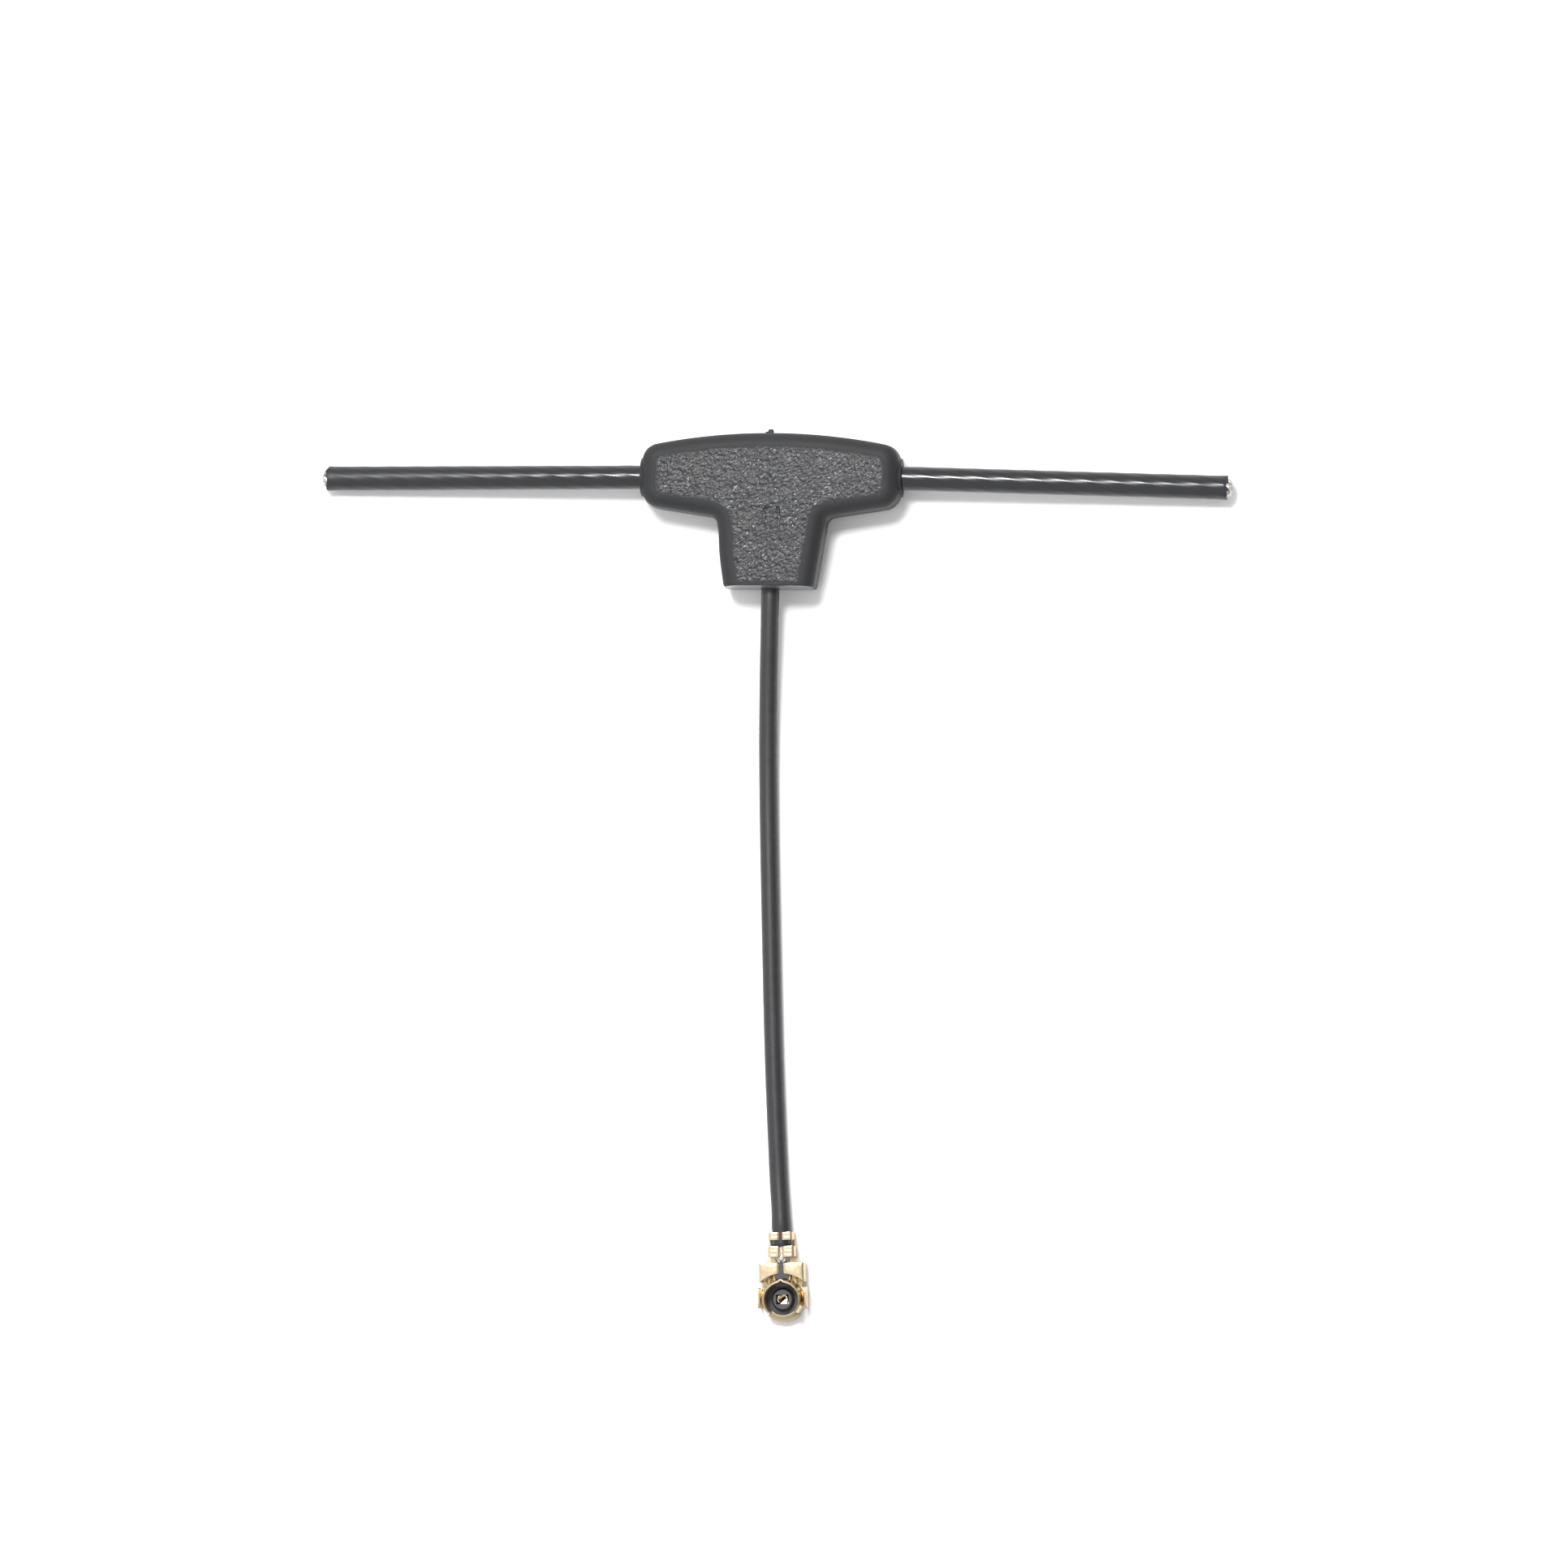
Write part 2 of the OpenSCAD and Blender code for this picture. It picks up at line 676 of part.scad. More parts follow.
// Where a plate at x starts inside the barrel's wall
function wall_y(x) = sqrt(pow(base_r + sheet / 4, 2) - pow(x, 2));

module channel_walls() {
    for (side = [-1, 1])
        translate([side * (jacket_crimp_w - sheet) / 2 - sheet / 2, braid_crimp_end, 0])
            cube([sheet, crimp_gap, channel_h]);
    translate([-jacket_crimp_w / 2, braid_crimp_end, 0]) cube([jacket_crimp_w, crimp_gap, sheet]);
}

module ground_contact() {
    color(gold) on_plug() {
        difference() {
            union() {
                base_plate();
                rotate(hinge_angle / 2 - 90) rotate_extrude(angle = 360 - hinge_angle) barrel_wall();
                neck_plates();
            }
            translate([-neck_w / 2, 0, sheet]) cube([neck_w, neck_band_rear + cut, arm_plate_h - sheet]);
            translate([-seam_w / 2, 0, sheet]) cube([seam_w, barrel_r + cut, mouth_h]);
        }
        rotate(-90 - hinge_angle / 2) rotate_extrude(angle = hinge_angle) hinge_strip();
        ears();
        neck_band();
        translate([0, 0, braid_rise])
            band(braid_crimp_w, braid_d + 2 * sheet, braid_crimp_y, braid_crimp_end, crimp_seam);
        channel_walls();
        band(jacket_crimp_w, lead_d + 2 * sheet, jacket_crimp_y, tail_y, crimp_seam);
    }
}

// Plug core

module connector_insulator() {
    color(contact_black) on_plug() difference() {
        union() {
            rotate_extrude() polygon([
                [0, sheet], [body_r, sheet], [body_r, floor_h], [boss_base_d / 2, floor_h],
                [boss_d / 2, boss_h], [0, boss_h]]);
            translate([-neck_w / 2, neck_front, sheet])
                cube([neck_w, neck_band_rear - neck_front, neck_low_h - sheet]);
            translate([-neck_w / 2, neck_high_from, sheet])
                cube([neck_w, neck_band_rear - neck_high_from, neck_top - sheet]);
        }
        translate([-pocket_w / 2, -pocket_l / 2, pocket_floor]) cube([pocket_w, pocket_l, boss_h]);
        translate([-tongue_w / 2 - pocket_fit, 0, pocket_floor])
            cube([tongue_w + 2 * pocket_fit, dielectric_end_y, sheet]);
        translate([-conductor_d / 2, core_end_y, pocket_floor + sheet - pocket_fit])
            cube([conductor_d, dielectric_end_y - core_end_y, conductor_d + pocket_fit]);
        translate([0, neck_band_rear + cut, lead_z]) rotate([90, 0, 0])
            cylinder(d = dielectric_d, h = neck_band_rear + cut - dielectric_end_y);
    }
}

module centre_contact() {
    plate_w = pocket_w - 2 * pocket_fit;
    color(gold) on_plug() {
        translate([-plate_w / 2, pocket_fit - pocket_l / 2, pocket_floor])
            cube([plate_w, pocket_l - 2 * pocket_fit, sheet]);
        translate([-tongue_w / 2, 0, pocket_floor])
            cube([tongue_w, dielectric_end_y - pocket_fit, sheet]);
        for (side = [-1, 1])
            translate([side * (plate_w - prong_t) / 2 - prong_t / 2, -prong_l / 2, pocket_floor])
                cube([prong_t, prong_l, prong_h - pocket_floor]);
    }
}

t_housing();
left_arm_jacket();
right_arm_jacket();
left_arm_strands();
right_arm_strands();
left_solder_joint();
right_solder_joint();
cable_jacket();
cable_braid();
cable_dielectric();
cable_core();
ground_contact();
connector_insulator();
centre_contact();
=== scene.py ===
import math

import bpy
from bpy.props import FloatProperty, FloatVectorProperty, IntProperty, PointerProperty
from bpy.types import Operator, Panel, PropertyGroup
from mathutils import Matrix, Vector, geometry, kdtree, noise


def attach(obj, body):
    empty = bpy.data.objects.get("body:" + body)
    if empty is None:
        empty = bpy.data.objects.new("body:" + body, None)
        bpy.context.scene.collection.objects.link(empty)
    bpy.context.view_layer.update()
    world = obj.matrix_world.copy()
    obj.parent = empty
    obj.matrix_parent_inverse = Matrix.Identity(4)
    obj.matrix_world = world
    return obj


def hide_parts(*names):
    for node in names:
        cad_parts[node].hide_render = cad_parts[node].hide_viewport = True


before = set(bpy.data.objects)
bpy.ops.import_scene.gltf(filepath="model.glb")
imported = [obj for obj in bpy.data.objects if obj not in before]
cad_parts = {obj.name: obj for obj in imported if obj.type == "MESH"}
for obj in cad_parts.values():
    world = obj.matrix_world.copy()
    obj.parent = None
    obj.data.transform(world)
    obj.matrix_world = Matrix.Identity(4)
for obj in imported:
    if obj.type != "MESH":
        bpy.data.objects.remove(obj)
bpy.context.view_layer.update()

bl_info = {
    "name": "T-shaped antenna",
    "version": (1, 0, 0),
    "blender": (4, 5, 0),
    "location": "3D View > Sidebar > Antenna",
    "description": "Dresses a moulded dipole antenna with stranded arms and a thin coaxial lead",
    "category": "Object",
}

# Every length is in metres. X runs along the arms, the stem points to -Y and
# the part lies on its flat back with Z up.
MM = 0.001
BODY = "root"


def length_of(name, description, millimetres):
    return FloatProperty(
        name=name, description=description, default=millimetres * MM, min=0.0,
        unit="LENGTH", subtype="DISTANCE", precision=6)


def angle_of(name, description, degrees):
    return FloatProperty(
        name=name, description=description, default=math.radians(degrees),
        unit="ROTATION", subtype="ANGLE")


def colour_of(name, description, red, green, blue):
    return FloatVectorProperty(
        name=name, description=description, default=(red, green, blue),
        size=3, min=0.0, max=1.0, subtype="COLOR")


class StageSettings(PropertyGroup):
    floor_tone: colour_of("Floor", "Colour of the floor", 0.9, 0.9, 0.9)
    key_power: FloatProperty(
        name="Key light", description="Power of the soft light over the object",
        default=0.85, min=0.0, unit="POWER")
    room_light: FloatProperty(
        name="Room light", description="Brightness of the white room", default=1.0, min=0.0)
    tilt_right: angle_of("Tilt to the right", "How far the camera stands to the right of straight above", 7.0)
    tilt_down: angle_of("Tilt to the stem", "How far the camera stands towards the stem's end", 3.5)
    roll: angle_of("Roll", "Roll of the camera about its line of sight", 0.9)
    view_width: length_of("View width", "Width of the camera's view at the part", 96.6)


class HousingSettings(PropertyGroup):
    width: length_of("Width", "Width over the two end faces", 16.0)
    thickness: length_of("Thickness", "Thickness from the flat back to the flat front", 3.4)
    crown_height: length_of("Crown height", "Rise of the crowned edge above the arm axis", 2.73)
    crown_radius: length_of("Crown radius", "Radius of the crowned edge", 37.0)
    wing_drop: length_of("Wing drop", "Drop of the wing's underside at the end face", 1.8)
    waist_drop: length_of("Waist drop", "Drop of the wing's underside at the stem", 2.5)
    stem_length: length_of("Stem length", "Reach of the stem below the arm axis", 6.9)
    stem_root_width: length_of("Stem root width", "Width of the stem where it leaves the wings", 7.06)
    stem_end_width: length_of("Stem end width", "Width of the stem at its end", 5.64)
    corner_radius: length_of("Corner radius", "Corner radius at the parting line", 1.1)
    waist_radius: length_of("Waist radius", "Fillet between wing and stem at the parting line", 0.55)
    stem_corner_radius: length_of("Stem corner radius", "Corner radius at the stem's end", 0.2)
    face_corner_radius: length_of("Face corner radius", "Corner radius of the flat faces", 0.4)
    edge_height: length_of("Edge height", "Height of the rounded edge", 0.8)
    crown_edge: length_of("Crown edge", "Width of the rounded edge along the crown", 0.85)
    end_edge: length_of("End edge", "Width of the rounded edge along the end faces", 0.9)
    wing_edge: length_of("Wing edge", "Width of the rounded edge under the wings", 0.75)
    stem_edge: length_of("Stem edge", "Width of the rounded edge along the stem", 0.9)
    stem_end_edge: length_of("Stem end edge", "Width of the broken edge at the stem's end", 0.08)
    draft: angle_of("Draft", "Draft angle of the side walls", 3.0)
    land_diameter: length_of("Land diameter", "Diameter of the shut-off land around each arm", 2.4)
    land_height: length_of("Land height", "Height of the shut-off land over the end face", 0.09)
    grain_depth: length_of("Grain depth", "Depth of the grain on the flat faces", 0.018)
    grain_step: length_of("Grain step", "Spacing of the grain's lumps", 0.19)
    colour: colour_of("Plastic", "Colour of the moulded plastic", 0.0175, 0.018, 0.0195)
    grain_colour: colour_of("Grain", "Colour of the plastic where it is grained", 0.0175, 0.0177, 0.0194)


class ArmSettings(PropertyGroup):
    diameter: length_of("Arm diameter", "Diameter over the jacket of an arm", 1.45)
    wall: length_of("Jacket wall", "Wall of the arm's jacket", 0.125)
    left_length: length_of("Left arm", "Length of the left jacket outside the housing", 19.9)
    right_length: length_of("Right arm", "Length of the right jacket outside the housing", 20.1)
    left_droop: angle_of("Left droop", "Lean of the left arm towards the stem", 0.2)
    right_droop: angle_of("Right droop", "Lean of the right arm towards the stem", 1.3)
    left_tip_gap: length_of("Left tip gap", "Gap between the left tip and the surface below", 0.16)
    right_tip_gap: length_of("Right tip gap", "Gap between the right tip and the surface below", 0.45)
    seat: length_of("Seat", "Length of jacket held inside the housing", 5.4)
    seat_squeeze: length_of("Seat squeeze", "Squeeze on the jacket's radius at its inner end", 0.04)
    strand_tip: length_of("Strand tip", "Length of bare strand outside the jacket", 0.4)
    strand_lay: length_of("Strand lay", "Length of one turn of the strands", 10.0)
    ripple: length_of("Ripple", "Height to which the strands show through the jacket", 0.01)
    jacket_colour: colour_of("Jacket", "Colour of the arm's jacket", 0.012, 0.0125, 0.0155)
    strand_colour: colour_of("Strands", "Colour of the plated strands", 0.62, 0.6, 0.56)


class LeadSettings(PropertyGroup):
    diameter: length_of("Lead diameter", "Diameter over the lead's jacket", 1.13)
    braid_diameter: length_of("Braid diameter", "Diameter over the braid", 0.9)
    dielectric_diameter: length_of("Dielectric diameter", "Diameter over the dielectric", 0.68)
    real_length: length_of("Lead length", "Length of the lead's jacket", 45.7)
    braid_wires: IntProperty(
        name="Braid wires", description="Number of bundles that run each way round the braid",
        default=8, min=4, max=16)
    jacket_colour: colour_of("Lead jacket", "Colour of the lead's jacket", 0.023, 0.0235, 0.0255)
    braid_colour: colour_of("Braid", "Colour of the tinned braid", 0.62, 0.59, 0.54)
    dielectric_colour: colour_of("Dielectric", "Colour of the dielectric", 0.85, 0.85, 0.83)
    solder_colour: colour_of("Solder", "Colour of the solder joints", 0.6, 0.6, 0.6)


class PlugSettings(PropertyGroup):
    turn: angle_of("Turn", "Turn of the plug away from +Y", 2.6)
    sheet: length_of("Sheet", "Thickness of the stamped sheet", 0.12)
    edge_break: length_of("Edge break", "Rounding of the stamped edges", 0.018)
    gold_colour: colour_of("Gold", "Colour of the plating", 0.76, 0.62, 0.41)
    insulator_colour: colour_of("Insulator", "Colour of the plug's moulding", 0.052, 0.054, 0.058)


SETTINGS = {
    "antenna_stage": StageSettings,
    "antenna_housing": HousingSettings,
    "antenna_arms": ArmSettings,
    "antenna_lead": LeadSettings,
    "antenna_plug": PlugSettings,
}


# Meshes


def polar(r, angle, z=0.0):
    return Vector((r * math.cos(angle), r * math.sin(angle), z))


def evenly(start, end, count):
    """Numbers from start to end in this many even steps."""
    return [start + (end - start) * i / count for i in range(count + 1)]


def clamped(value):
    return min(1.0, max(0.0, value))


def standing(place, angle, axis):
    """Matrix that turns about an axis, then moves to a place."""
    return Matrix.Translation(place) @ Matrix.Rotation(angle, 4, axis)


def set_inputs(node, **values):
    """Sets a node's inputs. An underscore stands for a space in their names."""
    for name, value in values.items():
        node.inputs[name.replace("_", " ")].default_value = value


def object_of(name, points, faces):
    mesh = bpy.data.meshes.new(name)
    mesh.from_pydata([tuple(p) for p in points], [], faces)
    made = bpy.data.objects.new(name, mesh)
    bpy.context.scene.collection.objects.link(made)
    return made


def new_piece(name, points, faces, material):
    """Smooth object at the origin that rides on the part's body."""
    piece = object_of(name, points, faces)
    piece.data.validate()
    piece.data.materials.append(material)
    piece.data.shade_smooth()
    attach(piece, BODY)
    return piece


def skinned(rings, ends=True):
    """Points and faces of a skin over rings that have the same number of points."""
    count = len(rings[0])
    points = [p for ring in rings for p in ring]
    last = len(points) - count
    faces = [
        (first + i, first + (i + 1) % count, first + count + (i + 1) % count, first + count + i)
        for first in range(0, last, count) for i in range(count)]
    if ends:
        faces += [tuple(range(count - 1, -1, -1)), tuple(range(last, last + count))]
    return points, faces


def joined(parts):
    """Several (points, faces) pairs as one."""
    points, faces = [], []
    for more_points, more_faces in parts:
        start = len(points)
        points += more_points
        faces += [tuple(start + i for i in face) for face in more_faces]
    return points, faces


def placed(part, matrix):
    points, faces = part
    return [matrix @ Vector(p) for p in points], faces


def cut_or_joined(piece, tool_part, operation):
    """Booleans (points, faces) into a piece and applies the result."""
    tool = object_of("tool", *tool_part)
    step = piece.modifiers.new("step", "BOOLEAN")
    step.operation = operation
    step.solver = "MANIFOLD"
    step.object = tool
    result = bpy.data.meshes.new_from_object(piece.evaluated_get(bpy.context.evaluated_depsgraph_get()))
    piece.modifiers.remove(step)
    spent = (piece.data, tool.data)
    piece.data = result
    bpy.data.objects.remove(tool)
    for mesh in spent:
        bpy.data.meshes.remove(mesh)


def mark_points(piece, name, values):
    piece.data.attributes.new(name, "FLOAT", "POINT").data.foreach_set("value", values)


def gridded(rows, flip=False):
    """Points and faces of an open surface over rows of points."""
    count = len(rows[0])
    points = [p for row in rows for p in row]
    faces = []
    for j in range(len(rows) - 1):
        for i in range(j * count, j * count + count - 1):
            face = (i, i + 1, i + count + 1, i + count)
            faces.append(face[::-1] if flip else face)
    return points, faces


def revolved(profile, sides):
    """Solid from (radius, height) points, the first and last of them on the axis."""
    rings = [[polar(r, math.tau * i / sides, z) for i in range(sides)] for r, z in profile[1:-1]]
    points, faces = skinned(rings, False)
    points += [Vector((0.0, 0.0, profile[i][1])) for i in (0, -1)]
    low, high = len(points) - 2, len(points) - 1
    last = low - sides
    faces += [(low, (i + 1) % sides, i) for i in range(sides)]
    faces += [(high, last + i, last + (i + 1) % sides) for i in range(sides)]
    return points, faces


def smooth_route(stations, straight, step):
    """Points a step apart on a curve through the stations. The curve is
    straight through the stations whose numbers are in straight."""
    stations = [Vector(s) for s in stations]
    last = len(stations) - 1
    ways = []
    for i in range(last + 1):
        way = stations[min(i + 1, last)] - stations[max(i - 1, 0)]
        if i in straight:
            near = straight[i]
            way = stations[max(i, near)] - stations[min(i, near)]
        ways.append(way.normalized())
    points = [stations[0]]
    for i in range(last):
        a, b = stations[i], stations[i + 1]
        span = (b - a).length
        count = max(1, round(span / step))
        for k in range(1, count + 1):
            t = k / count
            points.append(
                a * (2 * t ** 3 - 3 * t ** 2 + 1) + ways[i] * span * (t ** 3 - 2 * t ** 2 + t)
                + b * (3 * t ** 2 - 2 * t ** 3) + ways[i + 1] * span * (t ** 3 - t ** 2))
    return points


def swept(path, radius, sides):
    """Rings round a path. radius is a number or a function of the distance
    along the path and the angle round it."""
    rings, travelled = [], 0.0
    for i, point in enumerate(path):
        if i:
            travelled += (point - path[i - 1]).length
        ahead = (path[min(i + 1, len(path) - 1)] - path[max(i - 1, 0)]).normalized()
        aside = Vector((0, 0, 1)).cross(ahead).normalized()
        above = ahead.cross(aside)
        ring = []
        for k in range(sides):
            angle = math.tau * k / sides
            r = radius(travelled, angle) if callable(radius) else radius
            ring.append(point + r * (math.cos(angle) * aside + math.sin(angle) * above))
        rings.append(ring)
    return rings


def spans(outline, y):
    """Stretches of a level line that lie inside a closed outline."""
    crossings = sorted(
        a.x + (y - a.y) * (b.x - a.x) / (b.y - a.y)
        for a, b in zip(outline, outline[1:] + outline[:1]) if (a.y > y) != (b.y > y))
    return list(zip(crossings[::2], crossings[1::2]))


def walled(outer, inner):
    """Tube with a wall from its outer and inner rings."""
    return skinned(outer + inner[::-1] + outer[:1], False)


# Materials


class Finish:
    """Node material under construction."""

    def __init__(self, name, colour, roughness, metallic=0.0, specular=0.5):
        self.material = bpy.data.materials.new(name)
        self.material.use_nodes = True
        self.nodes = self.material.node_tree.nodes
        self.links = self.material.node_tree.links
        self.shader = self.nodes["Principled BSDF"]
        set_inputs(
            self.shader, Base_Color=(*colour, 1.0), Roughness=roughness, Metallic=metallic,
            Specular_IOR_Level=specular)
        self.place = self.nodes.new("ShaderNodeTexCoord").outputs["Object"]
        self.bump = None

    def stretched(self, x, y, z, turn=0.0):
        """Place, squeezed along axes that are turned about Z by degrees."""
        mapping = self.nodes.new("ShaderNodeMapping")
        mapping.vector_type = "TEXTURE"
        set_inputs(mapping, Scale=(1 / x, 1 / y, 1 / z), Rotation=(0.0, 0.0, math.radians(turn)))
        self.links.new(self.place, mapping.inputs["Vector"])
        return mapping.outputs["Vector"]

    def noise(self, step, detail=2.0, at=None, output="Fac"):
        """Noise whose lumps are a step across."""
        node = self.nodes.new("ShaderNodeTexNoise")
        set_inputs(node, Scale=1.0 / step, Detail=detail)
        self.links.new(at or self.place, node.inputs["Vector"])
        return node.outputs[output]

    def warped(self, step, reach, at):
        """A place, pushed about by up to a reach in lumps a step across."""
        push = self.nodes.new("ShaderNodeVectorMath")
        push.operation = "MULTIPLY_ADD"
        push.inputs[1].default_value = (2 * reach, 2 * reach, 2 * reach)
        self.links.new(self.noise(step, output="Color"), push.inputs[0])
        self.links.new(at, push.inputs[2])
        return push.outputs["Vector"]

    def ramp(self, value, low, high, start=0.0, end=1.0):
        node = self.nodes.new("ShaderNodeMapRange")
        set_inputs(node, From_Min=low, From_Max=high, To_Min=start, To_Max=end)
        self.links.new(value, node.inputs["Value"])
        return node.outputs["Result"]

    def product(self, a, b):
        node = self.nodes.new("ShaderNodeMath")
        node.operation = "MULTIPLY"
        self.links.new(a, node.inputs[0])
        self.links.new(b, node.inputs[1])
        return node.outputs["Value"]

    def attribute(self, name):
        node = self.nodes.new("ShaderNodeAttribute")
        node.attribute_name = name
        return node.outputs["Fac"]

    def tint(self, share, colour):
        """Mixes a colour over what the shader has, by a share."""
        socket = self.shader.inputs["Base Color"]
        node = self.nodes.new("ShaderNodeMix")
        node.data_type = "RGBA"
        if socket.is_linked:
            self.links.new(socket.links[0].from_socket, node.inputs[6])
        else:
            node.inputs[6].default_value = socket.default_value
        node.inputs[7].default_value = (*colour, 1.0)
        self.links.new(share, node.inputs["Factor"])
        self.links.new(node.outputs[2], socket)

    def cloud(self, step, share, colour):
        """Tints soft clouds a step across."""
        self.tint(self.ramp(self.noise(step), 0.35, 0.65, 0.0, share), colour)

    def rough(self, value, low, high):
        self.links.new(self.ramp(value, 0.3, 0.7, low, high), self.shader.inputs["Roughness"])

    def relief(self, height, depth):
        """Bump of a real depth in metres, over any bump that is there."""
        node = self.nodes.new("ShaderNodeBump")
        set_inputs(node, Distance=depth, Strength=1.0)
        self.links.new(height, node.inputs["Height"])
        if self.bump:
            self.links.new(self.bump, node.inputs["Normal"])
        self.bump = node.outputs["Normal"]
        self.links.new(self.bump, self.shader.inputs["Normal"])


def shade(colour, share):
    return tuple(min(1.0, c * share) for c in colour)


def plastic_of_the_housing(s):
    """Smooth on the rounded edges. Where the grain is, the plastic is paler under painted
    highlights on the crests of its short slanting wrinkles, with a few bright specks
    painted as glints. The stem's end wall is painted lighter, a painted reflection of the floor."""
    finish = Finish("Grained plastic", s.colour, 0.42)
    grain = finish.attribute("grain")
    bent = finish.warped(1.6 * MM, 0.45 * MM, finish.stretched(1.0, 1.7, 1.0, 32.0))
    wrinkles = finish.product(finish.noise(s.grain_step, 3.0, bent), grain)
    # Where the painted glints go: tiny bright specks on the grained faces.
    specks = finish.product(finish.noise(s.grain_step * 0.85, 1.0, bent), grain)
    finish.cloud(1.4 * MM, 0.35, shade(s.colour, 0.75))
    finish.tint(grain, s.grain_colour)
    # Painted highlight: the crests of the wrinkles are painted lighter than the grained plastic.
    finish.tint(finish.ramp(wrinkles, 0.56, 0.73, 0.0, 0.8), shade(s.grain_colour, 2.5))
    # Painted glints: the specks are painted many times lighter than the grained plastic.
    finish.tint(finish.ramp(specks, 0.63, 0.74, 0.0, 0.8), shade(s.grain_colour, 18.0))
    finish.relief(finish.noise(0.05 * MM), 0.0015 * MM)
    finish.relief(wrinkles, s.grain_depth * 1.9)
    # Painted reflection of the floor: the stem's end wall is painted seven times lighter.
    finish.tint(finish.attribute("end_wall"), shade(s.colour, 7.0))
    finish.rough(finish.attribute("gloss"), 0.62, 0.2)
    finish.links.new(finish.ramp(grain, 0.0, 1.0, 0.36, 0.24), finish.shader.inputs["Specular IOR Level"])
    return finish.material


def jacket_of_the_arms(s):
    """Glossier where the jacket is stretched over a strand than between two."""
    finish = Finish("Glossy arm jacket", s.jacket_colour, 0.2)
    finish.cloud(0.8 * MM, 0.5, shade(s.jacket_colour, 0.7))
    finish.relief(finish.noise(0.5 * MM, at=finish.stretched(0.25, 1, 1)), 0.003 * MM)
    finish.relief(finish.noise(0.05 * MM), 0.0008 * MM)
    finish.rough(finish.attribute("strand"), 0.42, 0.14)
    return finish.material


def jacket_of_the_lead(s):
    finish = Finish("Satin lead jacket", s.jacket_colour, 0.4)
    specks = finish.ramp(finish.noise(0.1 * MM, 1.0), 0.74, 0.8, 0.0, 0.6)
    finish.cloud(1.2 * MM, 0.4, shade(s.jacket_colour, 0.75))
    finish.tint(specks, (0.16, 0.16, 0.165))
    finish.relief(finish.noise(0.6 * MM, at=finish.stretched(1, 0.3, 1)), 0.006 * MM)
    finish.relief(finish.noise(0.08 * MM), 0.002 * MM)
    finish.rough(finish.noise(0.5 * MM), 0.34, 0.46)
    return finish.material


def plated(name, colour, step, roughness=(0.22, 0.42)):
    """Plated metal, dulled in clouds, over relief a step across."""
    finish = Finish(name, colour, roughness[0], metallic=1.0)
    finish.tint(finish.ramp(finish.noise(0.3 * MM, 3.0), 0.4, 0.7, 0.0, 0.45), shade(colour, 0.72))
    finish.relief(finish.noise(step, 3.0), 0.003 * MM)
    finish.rough(finish.noise(0.15 * MM), *roughness)
    return finish.material


def moulding_of_the_plug(s):
    finish = Finish("Moulded insulator", s.insulator_colour, 0.45)
    finish.cloud(0.3 * MM, 0.5, shade(s.insulator_colour, 0.7))
    finish.relief(finish.noise(0.08 * MM), 0.003 * MM)
    finish.rough(finish.noise(0.2 * MM), 0.38, 0.55)
    return finish.material


def dress(node, material):
    """Gives a carried-over node a better material."""
    piece = bpy.data.objects[node]
    piece.data.materials.clear()
    piece.data.materials.append(material)
    return piece


# Places


def both_arms(arms):
    return (-1, "left_arm", arms.left_length), (1, "right_arm", arms.right_length)


def arm_matrix(side, housing, arms):
    """Z runs out along the arm, from the housing's end face."""
    axis_height = housing.thickness / 2
    if side > 0:
        gap, length, lean = arms.right_tip_gap, arms.right_length, -arms.right_droop
    else:
        gap, length, lean = arms.left_tip_gap, arms.left_length, math.pi + arms.left_droop
    dip = math.asin((axis_height - arms.diameter / 2 - gap) / length)
    root = (side * housing.width / 2, 0, axis_height)
    return standing(root, lean, "Z") @ Matrix.Rotation(math.pi / 2 + dip, 4, "Y")


PLUG_AT = Vector((1.38, -50.57, 0.0)) * MM
LEAD_IN_PLUG = 0.685 * MM
PLUG_STATIONS = (4.63, 4.13, 3.27, 2.61, 2.25, 1.7, 1.25)


def plug_matrix(plug):
    return standing(PLUG_AT, plug.turn, "Z")


def lead_stations(plug):
    """The lead's route, from the housing's bore to the plug."""
    axis, lie = 1.7, 0.57
    free = [
        (0, -1.9, axis), (0, -6.9, axis), (-0.03, -9.5, 1.5), (-0.08, -12.5, 1.15), (-0.1, -15.5, 0.85),
        (-0.07, -18.5, 0.65), (0.02, -22, lie), (0.14, -25.5, lie), (0.27, -29, lie), (0.4, -32.5, lie),
        (0.55, -36, lie), (0.74, -39.5, lie), (0.95, -43, lie)]
    matrix = plug_matrix(plug)
    return [Vector(p) * MM for p in free] + [
        matrix @ Vector((0, y * MM, LEAD_IN_PLUG)) for y in PLUG_STATIONS]


def jacket_path(plug):
    stations = lead_stations(plug)
    straight = {0: 1, 1: 0, 13: 14, 14: 15, 15: 14}
    return smooth_route(stations[:16], straight, 0.22 * MM)


# Operators


